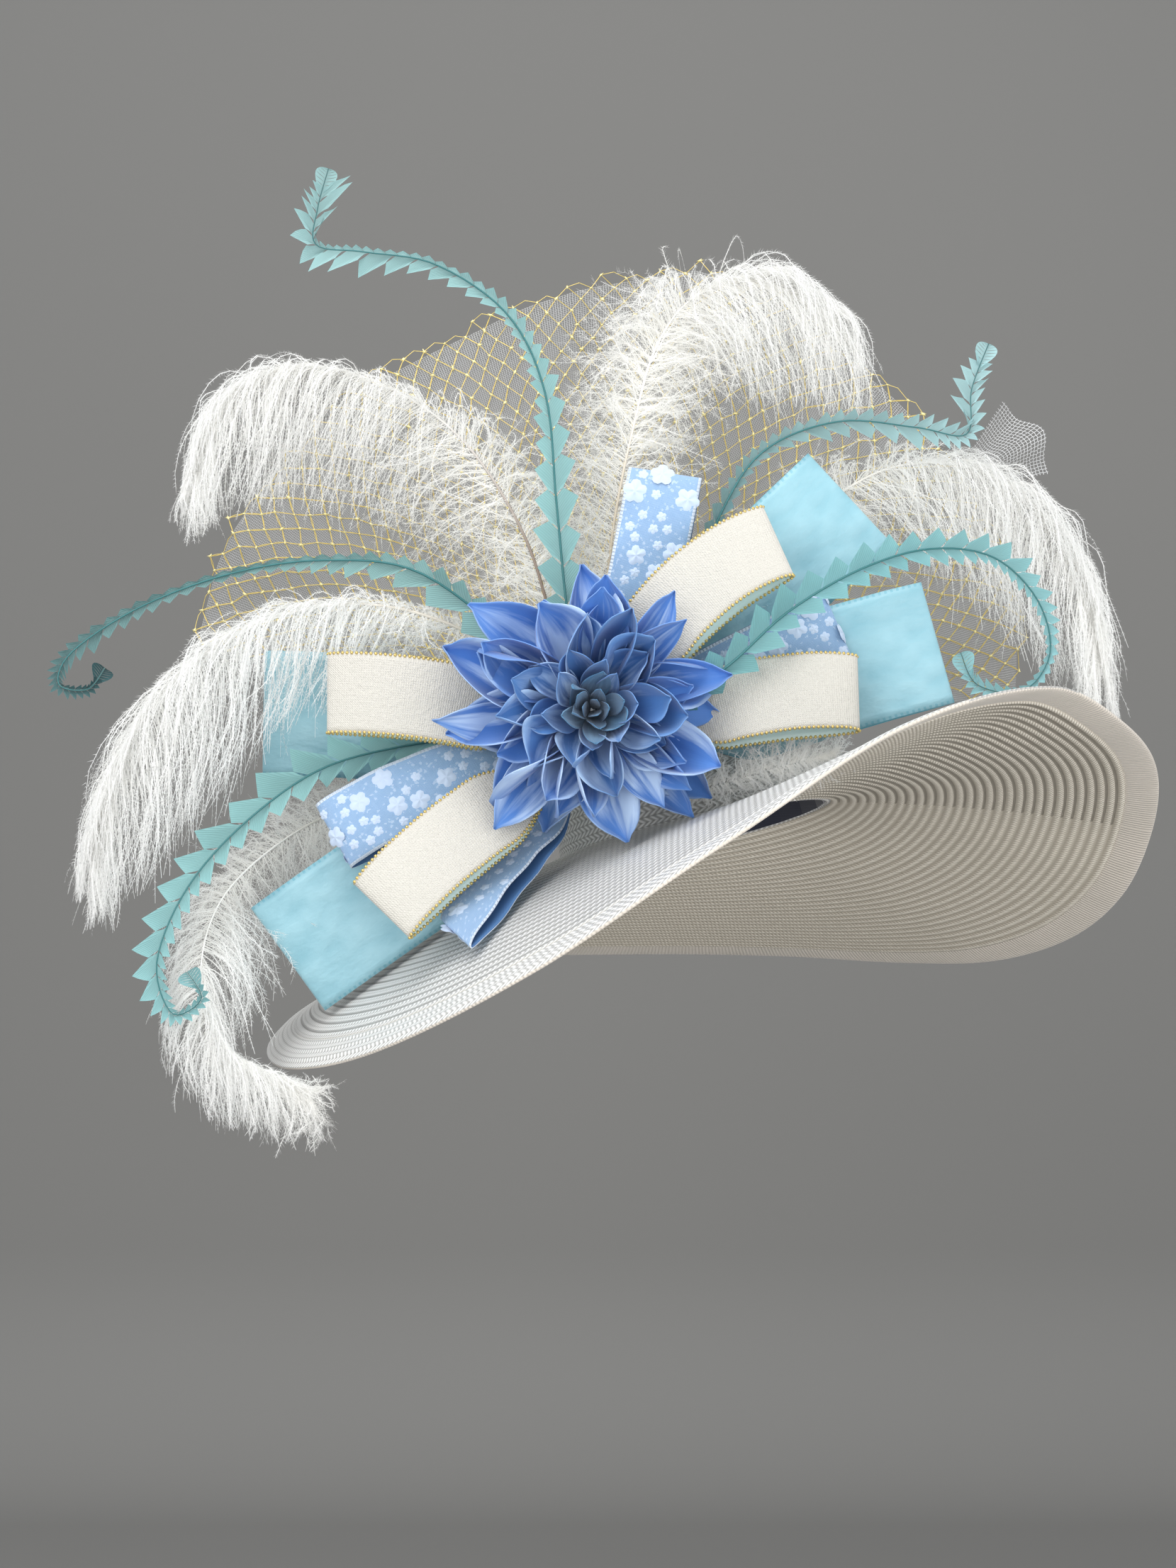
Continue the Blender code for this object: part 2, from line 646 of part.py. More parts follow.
def petal_layer(number, count, stem, back, tip_radius, tip_forward, cup, half_wide, turn):
    """One whorl: a ring round the stem with creased petals grown from it, cupped to the front."""
    centre = Vector((FLOWER_X, PAD_FRONT - back * MM, FLOWER_Z))
    bm = bmesh.new()
    bmesh.ops.create_circle(bm, cap_ends=True, segments=2 * count, radius=stem * MM)
    bmesh.ops.rotate(bm, verts=bm.verts, matrix=Matrix.Rotation(math.radians(90), 3, "X"))
    ring = sorted(bm.verts, key=lambda vert: math.atan2(vert.co.z, vert.co.x))
    for petal in range(count):
        corners = [ring[(2 * petal + step) % len(ring)] for step in range(3)]
        middle = corners[1].co.normalized()
        side = Vector((-middle.z, 0, middle.x))
        for share, spread, fold in PETAL_STATIONS:
            edges = [bm.edges.get(corners[:2]), bm.edges.get(corners[1:])]
            made = bmesh.ops.extrude_edge_only(bm, edges=edges)["geom"]
            new = [item for item in made if isinstance(item, bmesh.types.BMVert)]
            new.sort(key=lambda vert: vert.co.dot(side))
            radius = (stem + (tip_radius - stem) * share) * MM
            forward = tip_forward * MM * share**1.3
            half = min(half_wide * spread * MM, radius * math.tan(math.pi / count) - PETAL_APART)
            for vert, place in zip(new, (-1, 0, 1)):
                vert.co = middle * radius + side * place * half
                vert.co.y = -forward - (cup * fold * MM if place else 0)
            corners = new
    bmesh.ops.rotate(bm, verts=bm.verts, matrix=Matrix.Rotation(math.radians(turn), 3, "Y"))
    bmesh.ops.translate(bm, verts=bm.verts, vec=centre)
    bmesh.ops.recalc_face_normals(bm, faces=bm.faces)
    add_object(f"petals_{number}", bm, (0.16, 0.28, 0.68, 1), 0.6, PETAL_THICK)


def flower():
    for number, row in enumerate(PETALS, 1):
        petal_layer(number, *row)
    front = PAD_FRONT - PETALS[-1][2] * MM - BUD_OFF - BUD_RADIUS
    bm = bmesh.new()
    bmesh.ops.create_uvsphere(bm, u_segments=8, v_segments=6, radius=BUD_RADIUS)
    bmesh.ops.rotate(bm, verts=bm.verts, matrix=Matrix.Rotation(math.radians(90), 3, "X"))
    bmesh.ops.translate(bm, verts=bm.verts, vec=(FLOWER_X, front, FLOWER_Z))
    add_object("dahlia_centre", bm, (0.10, 0.22, 0.42, 1), 0.6)


def main():
    clear_scene()
    hat = bpy.data.collections.new("church_hat")
    bpy.context.scene.collection.children.link(hat)
    crown()
    sweatband()
    brim()
    trim_base()
    veil_net()
    for name, rows in PLUMES.items():
        plume(name, rows)
    for name, rows in QUILLS.items():
        trimmed_quill(name, rows)
    ribbon_loops()
    flower()


main()
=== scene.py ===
"""A wide-brimmed sewn-braid dress hat with its trim, finished for a portrait from the trimmed side.

Frame: metres, +Z up, origin at the middle of the head opening, +X to the front of the hat,
-Y to the trimmed side. Every piece is made in place, so its object sits at the origin.
"""
import math
import random

import bmesh
import bpy
import numpy as np
from mathutils import Matrix, Vector
from mathutils.bvhtree import BVHTree


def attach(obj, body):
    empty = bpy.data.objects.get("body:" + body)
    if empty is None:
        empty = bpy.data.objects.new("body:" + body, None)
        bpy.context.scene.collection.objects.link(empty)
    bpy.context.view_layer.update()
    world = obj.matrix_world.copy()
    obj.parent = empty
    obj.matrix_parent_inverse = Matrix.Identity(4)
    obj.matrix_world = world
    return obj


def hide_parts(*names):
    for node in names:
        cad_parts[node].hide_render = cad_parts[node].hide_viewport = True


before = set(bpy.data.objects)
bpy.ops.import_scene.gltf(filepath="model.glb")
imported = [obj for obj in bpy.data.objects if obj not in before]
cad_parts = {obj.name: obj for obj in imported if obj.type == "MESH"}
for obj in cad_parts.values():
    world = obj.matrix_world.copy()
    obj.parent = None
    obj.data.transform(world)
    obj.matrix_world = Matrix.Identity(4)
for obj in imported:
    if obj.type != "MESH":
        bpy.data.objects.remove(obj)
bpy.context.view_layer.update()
MM = 0.001

# The camera stands level with the hat, about a metre and a half from its trimmed side.
# A plain grey floor curves up behind the hat, and five soft boxes and a dim room light them.
CAMERA_AT = (-0.0784, -1.484, 0.0357)
FOCAL_PX = 2850
PHOTO_HIGH_PX = 2212
SENSOR_MM = 36
FLOOR_Z = -0.95
WALL_Y = 1.5
LIGHTS = [
    # name, x, y, z, width in metres, power_w
    ("overhead_soft", -0.4, -0.9, 1.9, 1.6, 27),
    ("camera_fill", -0.35, -1.9, -0.1, 1.2, 7),
    ("front_soft", -1.2, -1.9, 0.9, 1.4, 21),
    ("front_right_soft", 1.5, -1.8, 0.2, 1.4, 16),
    ("low_fill", 0.6, -1.4, -0.8, 1.2, 13),
]

portrait = bpy.data.cameras.new("portrait")
portrait.sensor_fit = "VERTICAL"
portrait.sensor_height = SENSOR_MM
portrait.lens = SENSOR_MM * FOCAL_PX / PHOTO_HIGH_PX
eye = bpy.data.objects.new("portrait", portrait)
eye.location = CAMERA_AT
eye.rotation_euler = (math.radians(90), 0, 0)
bpy.context.scene.collection.objects.link(eye)
bpy.context.scene.camera = eye
bpy.context.scene.view_settings.view_transform = "Standard"

for name, x, y, z, width, power in LIGHTS:
    lamp = bpy.data.lights.new(name, "AREA")
    lamp.size = width
    lamp.energy = power
    holder = bpy.data.objects.new(name, lamp)
    holder.location = (x, y, z)
    holder.rotation_euler = (-Vector((x, y, z))).to_track_quat("-Z", "Y").to_euler()
    bpy.context.scene.collection.objects.link(holder)

room = bpy.data.worlds.new("room")
room.use_nodes = True
room.node_tree.nodes["Background"].inputs["Color"].default_value = (0.95, 0.97, 1.0, 1)
room.node_tree.nodes["Background"].inputs["Strength"].default_value = 0.70
bpy.context.scene.world = room


def finish(name, colour, roughness, **uniform):
    """A finish whose uniform values sit on the shader's own sockets; spaces are written as _."""
    made = bpy.data.materials.new(name)
    made.use_nodes = True
    shader = made.node_tree.nodes["Principled BSDF"]
    shader.inputs["Base Color"].default_value = (*colour, 1)
    shader.inputs["Roughness"].default_value = roughness
    for socket, value in uniform.items():
        shader.inputs[socket.replace("_", " ")].default_value = value
    return made, shader


backdrop = bmesh.new()
rail = [backdrop.verts.new((-4, -4, FLOOR_Z)), backdrop.verts.new((-4, WALL_Y - 0.3, FLOOR_Z))]
backdrop.edges.new(rail)


def pull_edges(bm, edges, way):
    """Draws a strip of face out of the edges."""
    drawn = bmesh.ops.extrude_edge_only(bm, edges=edges)["geom"]
    bmesh.ops.translate(bm, verts=[part for part in drawn if isinstance(part, bmesh.types.BMVert)], vec=way)


pull_edges(backdrop, list(backdrop.edges), (8, 0, 0))
cove = [edge for edge in backdrop.edges if all(v.co.y > 0 for v in edge.verts)]
bmesh.ops.spin(
    backdrop,
    geom=cove,
    axis=(1, 0, 0),
    cent=(0, WALL_Y - 0.3, FLOOR_Z + 0.3),
    angle=math.radians(90),
    steps=12,
)
top = [edge for edge in backdrop.edges if all(abs(v.co.y - WALL_Y) < 1e-5 for v in edge.verts)]
pull_edges(backdrop, top, (0, 0, 4))
bmesh.ops.recalc_face_normals(backdrop, faces=backdrop.faces)
backdrop_mesh = bpy.data.meshes.new("floor_and_wall")
backdrop.to_mesh(backdrop_mesh)
backdrop.free()
backdrop_mesh.shade_smooth()
floor = bpy.data.objects.new("floor_and_wall", backdrop_mesh)
bpy.context.scene.collection.objects.link(floor)
backdrop_mesh.materials.append(finish("plain_plaster", (0.215, 0.212, 0.203), 0.9)[0])

# The brim is white plaited braid, about seven millimetres wide, sewn round and round in
# overlapping rows. Its upper side shows the plait, its under side the ridge of each row.
FRONT_UP = math.radians(13)
SIDE_UP = math.radians(9)
LEAN = Matrix.Rotation(-FRONT_UP, 3, "Y") @ Matrix.Rotation(-SIDE_UP, 3, "X")
HEAD_LONG = 101 * MM
HEAD_WIDE = 83 * MM
SEAM = 0.8 * MM
HEM_WIDE = 20 * MM
BRIM_REACH = 228 * MM
BRIM_ROWS = 30
BRIM_AROUND = 240
PLAIT_STEP = 4.4                # millimetres along a row from one strand of the plait to the next
TWIST_STEP = 3.2                # and from one glint of its twisted thread to the next
BRIM_EDGE = [
    # angle_deg (0 front, -90 trimmed side), rise_mm of the edge, reach_mm, early: slope share at the crown
    (-180, -80, 234, 0.4),
    (-157, -108, 231, 0.5),
    (-135, -115, 227, 0.5),
    (-112, -94, 228, 0.5),
    (-90, -49, 231, 0.5),
    (-68, -2, 230, 0.6),
    (-45, 11, 226, 0.7),
    (-30, -12, 226, 0.7),
    (-15, -39, 227, 0.7),
    (0, -74, 223, 0.7),
    (15, -111, 220, 0.75),
    (30, -132, 220, 0.85),
    (45, -134, 219, 0.95),
    (60, -117, 220, 1.05),
    (80, -84, 223, 1.15),
    (100, -56, 228, 1.1),
    (120, -36, 232, 1.0),
    (140, -34, 234, 0.8),
    (160, -52, 235, 0.6),
]
ROW_TOP = [
    # share of the row's width, height_mm over the wall
    (0.05, 0.1),
    (0.35, 0.75),
    (0.8, 0.6),
]
ROW_UNDER = [
    (0.05, 0.1),
    (0.35, 1.2),
    (0.75, 0.8),
]


def round_table(rows, column, angle):
    """Smooth value of a column of a table whose first column is an angle round the whole turn."""
    angle = (angle + 180) % 360 - 180
    count = len(rows)
    index = max(i for i in range(count) if rows[i][0] <= angle)
    ring = [rows[(index + step) % count] for step in (-1, 0, 1, 2)]
    span = [(ring[i + 1][0] - ring[i][0]) % 360 for i in range(3)]
    t = (angle - ring[1][0]) / span[1]
    values = [row[column] for row in ring]
    slope_here = (values[2] - values[0]) / (span[0] + span[1]) * span[1]
    slope_there = (values[3] - values[1]) / (span[1] + span[2]) * span[1]
    return (
        (2 * t**3 - 3 * t**2 + 1) * values[1]
        + (t**3 - 2 * t**2 + t) * slope_here
        + (3 * t**2 - 2 * t**3) * values[2]
        + (t**3 - t**2) * slope_there
    )


edge_rows = {}


def brim_point(angle_deg, reach):
    """A point of the brim's middle surface: reach 0 at the crown, 1 at the outer edge."""
    if angle_deg not in edge_rows:
        edge_rows[angle_deg] = [round_table(BRIM_EDGE, column, angle_deg) for column in (1, 2, 3)]
    rise, wide, early = edge_rows[angle_deg]
    angle = math.radians(angle_deg)
    wide *= MM * reach
    return LEAN @ Vector((
        (HEAD_LONG + SEAM + wide) * math.cos(angle),
        (HEAD_WIDE + SEAM + wide) * math.sin(angle),
        rise * MM * (early * reach + (1 - early) * reach**2),
    ))


def brim_place(angle_deg, reach, height):
    """A point at a height over the brim's middle surface."""
    here = brim_point(angle_deg, reach)
    across = brim_point(angle_deg, reach + 0.01) - brim_point(angle_deg, reach - 0.01)
    along = brim_point(angle_deg + 0.6, reach) - brim_point(angle_deg - 0.6, reach)
    return here + across.cross(along).normalized() * height


def unrolled(columns, rows, place, chart=None, join_u=False, join_v=False):
    """A grid whose corner at (u, v), both 0 to 1, goes to place(u, v) and takes the UV chart(u, v)."""
    bm = bmesh.new()
    bmesh.ops.create_grid(bm, x_segments=columns, y_segments=rows, size=0.5)
    if chart:
        layer = bm.loops.layers.uv.new("cloth")
        for face in bm.faces:
            for loop in face.loops:
                loop[layer].uv = chart(loop.vert.co.x + 0.5, loop.vert.co.y + 0.5)
    for vert in bm.verts:
        vert.co = place(vert.co.x + 0.5, vert.co.y + 0.5)
    if join_u or join_v:
        bmesh.ops.remove_doubles(bm, verts=bm.verts, dist=0.02 * MM)
    return bm


def add_mesh(name, mesh, finishes, stands_for=()):
    """Makes the mesh a smooth piece of the hat; it stands for the named solids."""
    mesh.shade_smooth()
    for made in finishes:
        mesh.materials.append(made)
    piece = bpy.data.objects.new(name, mesh)
    bpy.context.scene.collection.objects.link(piece)
    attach(piece, "root")
    if stands_for:
        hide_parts(*stands_for)
    return piece


def add_piece(name, bm, finishes, stands_for=()):
    """Makes the bmesh a piece of the hat in the same way."""
    mesh = bpy.data.meshes.new(name)
    bm.to_mesh(mesh)
    bm.free()
    return add_mesh(name, mesh, finishes, stands_for)


class Varying:
    """A number that varies over a surface; the signs + - * / ** work it out in the material."""

    def __init__(self, socket):
        self.socket = socket
        self.tree = socket.id_data

    def math(self, operation, *others):
        made = self.tree.nodes.new("ShaderNodeMath")
        made.operation = operation
        for socket, value in zip(made.inputs, (self, *others)):
            if isinstance(value, Varying):
                self.tree.links.new(value.socket, socket)
            else:
                socket.default_value = value
        return Varying(made.outputs[0])

    def __add__(self, other):
        return self.math("ADD", other)

    def __sub__(self, other):
        return self.math("SUBTRACT", other)

    def __rsub__(self, number):
        return self.math("MULTIPLY_ADD", -1.0, number)

    def __mul__(self, other):
        return self.math("MULTIPLY", other)

    def __truediv__(self, other):
        return self.math("DIVIDE", other)

    def __pow__(self, other):
        return self.math("POWER", other)

    def wave(self, pitch):
        """A sine of it, from -1 to 1, that comes round once in each pitch."""
        return (self * (2 * math.pi / pitch)).math("SINE")

    def striped(self, pitch):
        """The same sine from 0 to 1."""
        return (self.wave(pitch) + 1.0) * 0.5

    def blend(self, low, high):
        """A colour between low and high by this share."""
        made = self.tree.nodes.new("ShaderNodeMix")
        made.data_type = "RGBA"
        self.tree.links.new(self.socket, made.inputs[0])
        for socket, value in zip((made.inputs[6], made.inputs[7]), (low, high)):
            if isinstance(value, tuple):
                socket.default_value = (*value, 1)
            else:
                self.tree.links.new(value, socket)
        return made.outputs[2]


def paint(shader, colour):
    shader.id_data.links.new(colour, shader.inputs["Base Color"])


def raise_by(shader, height, distance, strength=1.0):
    bump = shader.id_data.nodes.new("ShaderNodeBump")
    bump.inputs["Distance"].default_value = distance
    bump.inputs["Strength"].default_value = strength
    shader.id_data.links.new(height.socket, bump.inputs["Height"])
    shader.id_data.links.new(bump.outputs[0], shader.inputs["Normal"])


def cloth_axes(shader):
    """The two UV values of the cloth, as laid out by its chart, and both together."""
    source = shader.id_data.nodes.new("ShaderNodeUVMap")
    source.uv_map = "cloth"
    split = shader.id_data.nodes.new("ShaderNodeSeparateXYZ")
    shader.id_data.links.new(source.outputs[0], split.inputs[0])
    return Varying(split.outputs[0]), Varying(split.outputs[1]), source.outputs[0]


def textured(place, kind, **uniform):
    """A texture node of a kind that reads the place."""
    made = place.id_data.nodes.new(kind)
    for socket, value in uniform.items():
        made.inputs[socket].default_value = value
    place.id_data.links.new(place, made.inputs["Vector"])
    return made


def noise(place, scale, detail=2.0):
    return Varying(textured(place, "ShaderNodeTexNoise", Scale=scale, Detail=detail).outputs[0])


def plait_finish(name, colour, painted_shade, roughness):
    """Braid seen on its face: strands run in chevrons within each row, and the rows part in grooves. The
    strands' sides, the seams between rows and each row's middle are darkened with painted shade.
    """
    made, shader = finish(name, colour, roughness, Specular_IOR_Level=0.6, Sheen_Weight=0.15)
    along, row, place = cloth_axes(shader)
    off_middle = (row.math("FRACT") - 0.5).math("ABSOLUTE")
    rounded = (along / PLAIT_STEP + off_middle * 1.7).striped(1)
    seam = (off_middle * 2.0) ** 10.0
    middle = (1.0 - off_middle * 2.0) ** 8.0
    height = rounded**0.6 + noise(place, 3.0, 4.0) * 0.25 - middle * 0.7
    # Painted shade: the strands' sides, the seams between rows and each row's middle are mixed toward the
    # dark colour.
    shade = (1.0 - rounded) * 0.85 + seam + middle * 0.35
    paint(shader, shade.math("MINIMUM", 1.0).blend(colour, painted_shade))
    raise_by(shader, height, 0.5 * MM, 0.8)
    return made


def ridge_finish(name, colour, painted_shade, roughness):
    """Braid seen from the back: each row is one ridge of twisted thread, with glints painted along its top
    in the light colour and the rest in a darker painted shade.
    """
    made, shader = finish(name, colour, roughness, Specular_IOR_Level=0.5)
    along, row, place = cloth_axes(shader)
    share = row.math("FRACT")
    ridge = share.wave(2)
    twist = (along / TWIST_STEP + row * 1.37 + share).wave(1)
    # Painted glints: the tops of the ridges take the light colour, and everything else takes the darker
    # painted shade.
    glint = ridge**3.0 * (twist + 1.0)
    paint(shader, (1.0 - glint * (noise(place, 0.35, 3.0) + 0.15)).blend(colour, painted_shade))
    raise_by(shader, ridge + twist * 0.35, 0.45 * MM, 0.8)
    return made


BODY_REACH = 1 - HEM_WIDE / BRIM_REACH - 0.0015
WALL_TOP, WALL_UNDER = 0.65, 0.35
brim_stations = [
    (BODY_REACH * (row + share) / BRIM_ROWS, (WALL_TOP + height) * MM)
    for row in range(BRIM_ROWS)
    for share, height in ROW_TOP
]
brim_stations += [
    (BODY_REACH * (row + share) / BRIM_ROWS, -(WALL_UNDER + height) * MM)
    for row in reversed(range(BRIM_ROWS))
    for share, height in reversed(ROW_UNDER)
]


def brim_surface(u, v):
    reach, height = brim_stations[round(v * len(brim_stations)) % len(brim_stations)]
    return brim_place(360 * u, reach, height)


def brim_chart(u, v):
    reach, height = brim_stations[min(round(v * len(brim_stations)), len(brim_stations) - 1)]
    row = reach / BODY_REACH * BRIM_ROWS
    radius = (HEAD_LONG + HEAD_WIDE) / 2 + (int(row) + 0.5) / BRIM_ROWS * BRIM_REACH
    return 2 * math.pi * radius / MM * u, row


# The darker colour of each braid finish is painted shade: in the plait's grooves, and on the ridged side
# away from its painted glints.
plait_white = plait_finish("plaited_braid", (0.95, 0.945, 0.925), (0.40, 0.39, 0.37), 0.38)
ridged_white = ridge_finish("ridged_braid", (0.96, 0.905, 0.80), (0.50, 0.45, 0.37), 0.4)
brim = unrolled(BRIM_AROUND, len(brim_stations), brim_surface, brim_chart, True, True)
bmesh.ops.recalc_face_normals(brim, faces=brim.faces)
brim.normal_update()
# Faces that look up take the plaited finish. Faces that look down take the ridged finish, with its painted
# glints and painted shade.
for face in brim.faces:
    face.material_index = 0 if face.normal.dot(LEAN @ Vector((0, 0, 1))) > 0 else 1
brim_tree = BVHTree.FromBMesh(brim)
add_piece("brim_of_sewn_braid", brim, [plait_white, ridged_white], ["brim"])

# The outer edge of the brim is bound with a smooth ribbed tape over a wire. Its upper side is
# plaited like the rows, and its under side is matt with fine ribs across it.
HEM_THICK = 4.0 * MM
HEM_AROUND = 320
HEM_STATIONS = 40
HEM_RADIUS = 320                # millimetres from the middle of the hat, on the whole
HEM_RIB = 2.9
HEM_OVERLAP = 1.14              # the binding laps over the end of the last row
hem_stations = []
for step in range(HEM_STATIONS):
    turn = 2 * math.pi * step / HEM_STATIONS
    across = 0.5 - 0.5 * math.copysign(abs(math.cos(turn)) ** 0.8, math.cos(turn))
    bulge = math.copysign(abs(math.sin(turn)) ** 0.7, math.sin(turn)) * HEM_THICK / 2
    row = 0.5 * MM * abs(math.sin(3.4 * math.pi * across)) if 2 * step < HEM_STATIONS else 0.0
    height = bulge * (0.62 + 0.38 * across) + row
    hem_stations.append((1 - HEM_WIDE / BRIM_REACH * HEM_OVERLAP * (1 - across), height))


def hem_surface(u, v):
    reach, height = hem_stations[round(v * HEM_STATIONS) % HEM_STATIONS]
    return brim_place(360 * u, reach, height)


def hem_chart(u, v):
    reach, height = hem_stations[min(round(v * HEM_STATIONS), HEM_STATIONS - 1)]
    return 2 * math.pi * HEM_RADIUS * u, (reach - 1) * BRIM_REACH / HEM_WIDE * 3


def object_place(shader):
    return shader.id_data.nodes.new("ShaderNodeTexCoord").outputs["Object"]


tape, shader = finish("ribbed_tape", (0.74, 0.68, 0.61), 0.6, Sheen_Weight=0.3)
along, across, place = cloth_axes(shader)
paint(shader, noise(object_place(shader), 22.0, 3.0).blend((0.57, 0.525, 0.45), (0.71, 0.64, 0.565)))
raise_by(shader, along.wave(HEM_RIB) + noise(place, 0.8, 3.0), 0.3 * MM, 0.7)
hem = unrolled(HEM_AROUND, HEM_STATIONS, hem_surface, hem_chart, True, True)
bmesh.ops.recalc_face_normals(hem, faces=hem.faces)
hem.normal_update()
for face in hem.faces:
    face.material_index = 0 if face.normal.dot(LEAN @ Vector((0, 0, 1))) > 0.15 else 1
add_piece("bound_hem", hem, [plait_white, tape], ["brim_hem"])

# The crown is a cap of the same plaited braid. The braid is sewn in one long spiral, from the
# middle of the cap's top down to the inner edge of the brim, where it is stitched on.
CROWN_WALL = 2.0 * MM
CROWN_ROWS = 25
CROWN_AROUND = 180
CROWN_GIRTH = 570               # millimetres round its foot
CROWN_PROFILE = [
    # height_mm, share of the foot's size
    (112, 0.00),
    (110, 0.42),
    (102, 0.72),
    (86, 0.88),
    (58, 0.95),
    (28, 0.985),
    (-1, 1.00),
]


def between(rows, column, position):
    """Catmull-Rom value of a column at a position from 0, the first row, to 1, the last."""
    spot = min(max(position, 0.0), 1.0) * (len(rows) - 1)
    index = min(int(spot), len(rows) - 2)
    t = spot - index
    picks = [rows[min(max(index + step, 0), len(rows) - 1)][column] for step in (-1, 0, 1, 2)]
    before, here, there, after = picks
    return 0.5 * (
        2 * here
        + (there - before) * t
        + (2 * before - 5 * here + 4 * there - after) * t**2
        + (3 * here - before - 3 * there + after) * t**3
    )


crown_stations = [
    ((row + share) / CROWN_ROWS, (height - 0.75) * MM)
    for row in range(CROWN_ROWS)
    for share, height in ROW_TOP
]
crown_stations[0] = (0.0, 0.0)
crown_stations += [(1 - step / 24, -CROWN_WALL) for step in range(25)]


def crown_surface(u, v):
    down, height = crown_stations[round(v * (len(crown_stations) - 1))]
    turn = 2 * math.pi * u
    share = max(between(CROWN_PROFILE, 1, down), 0.0) if down else 0.0
    rise = between(CROWN_PROFILE, 0, down) * MM
    slope = (between(CROWN_PROFILE, 0, down + 0.01) - between(CROWN_PROFILE, 0, down - 0.01)) * MM
    widen = (between(CROWN_PROFILE, 1, down + 0.01) - between(CROWN_PROFILE, 1, down - 0.01)) * HEAD_LONG
    outward = Vector((-slope, widen)).normalized()
    share += outward.x * height / HEAD_LONG * (1 if down else 0)
    return LEAN @ Vector((
        share * HEAD_LONG * math.cos(turn),
        share * HEAD_WIDE * math.sin(turn),
        rise + outward.y * height,
    ))


def crown_chart(u, v):
    down, height = crown_stations[round(v * (len(crown_stations) - 1))]
    row = down * CROWN_ROWS
    return CROWN_GIRTH * between(CROWN_PROFILE, 1, (int(row) + 0.5) / CROWN_ROWS) * u, row + u


crown = unrolled(CROWN_AROUND, len(crown_stations) - 1, crown_surface, crown_chart, True, True)
bmesh.ops.recalc_face_normals(crown, faces=crown.faces)
add_piece("crown_of_sewn_braid", crown, [plait_white], ["crown", "crown_tip"])

# The sweatband is a dark ribbon with fine ribs round the head, stitched inside the foot of
# the crown. It keeps its plain solid, which already has the ribbon's form, in a cloth finish.
band, shader = finish("dark_ribbed_ribbon", (0.012, 0.015, 0.035), 0.55, Sheen_Weight=0.4)
ribs = textured(object_place(shader), "ShaderNodeTexWave", Scale=420, Distortion=0.6)
ribs.bands_direction = "Z"
rib = Varying(ribs.outputs["Fac"])
paint(shader, rib.blend((0.008, 0.010, 0.022), (0.022, 0.028, 0.06)))
raise_by(shader, rib, 0.2 * MM, 0.5)
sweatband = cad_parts["sweatband"]
sweatband.data.materials.clear()
sweatband.data.materials.append(band)

# Ribbon loops start at the stitched pad behind the flower, run out, fold over and come back.
# Four are wide satin, four are cream canvas with a beaded gold edge, and four carry sewn flowers.
VIEWER = Vector((0, -1, 0))      # the way to the photograph's viewer
PAD_X = -68 * MM
PAD_Z = 60 * MM
PAD_RADIUS = 32 * MM
LOOP_START = PAD_RADIUS + 0.6 * MM
ROOT_WIDE = 14 * MM
ROOT_SPREAD = 1.3 * MM
ROLL_EASE = 0.35                # share of the loop in which it rolls out of the gather
SPREAD_EASE = 0.30              # share in which it opens to its full width
RIBBON_WIDE = {"satin": 86, "cream": 52, "floral": 50}
RIBBON_THICK = 0.7 * MM
RIBBON_GRID = (72, 14)          # faces along the loop and across it
RUFFLE = {"satin": 0.9, "cream": 0.5, "floral": 1.6}
PLEATS = 5                      # half pleats across the gathered root
PLEAT_DEEP = 1.1 * MM
WAVE_STEP = 17 * MM             # the ribbon waves along its length, and its edges crinkle
CRINKLE_STEP = 6.1 * MM
LOOPS = [
    # name, ribbon, azimuth_deg, length_mm, root_y_mm, toward the viewer_deg, late, roll_deg,
    # curl_deg, belly_mm
    ("satin_loop_left", "satin", 173.9, 237, -89, -2, 1, 0, 10, 10),
    ("satin_loop_lower_left", "satin", 213.8, 258, -102, 2, 1, 0, 4, 9),
    ("satin_loop_upper_right", "satin", 45.4, 245, -88, -3, 1, 4, -4, 8),
    ("satin_loop_right", "satin", 17.6, 240, -102, 0, 1, -5, -6, 8),
    ("floral_loop_left", "floral", 198.3, 191, -121, 6, 1, 14, 26, 11),
    ("floral_loop_bottom", "floral", 231.6, 152, -121, 34, 2.2, 54, 8, 6.5),
    ("floral_loop_top", "floral", 77.3, 191, -116, 0, 1, -4, 6, 8),
    ("floral_loop_right", "floral", 27.7, 179, -118, 0, 1, 4, -8, 5),
    ("cream_loop_left", "cream", 169.0, 186, -140, 6, 1, 4, 22, 15),
    ("cream_loop_lower_left", "cream", 216.5, 178, -141, 19.5, 1, 15, 22, 11.5),
    ("cream_loop_upper_right", "cream", 49.7, 185, -144, 3, 1, -14, -55, 15),
    ("cream_loop_right", "cream", 11.9, 173, -144, 3, 1, -18, -25, 13),
]


def smooth_share(t):
    t = min(max(t, 0.0), 1.0)
    return t * t * (3 - 2 * t)


def loop_reach(length, u):
    first = LOOP_START / length
    return first, first + (1 - first) * (1 - math.cos(2 * math.pi * u)) / 2


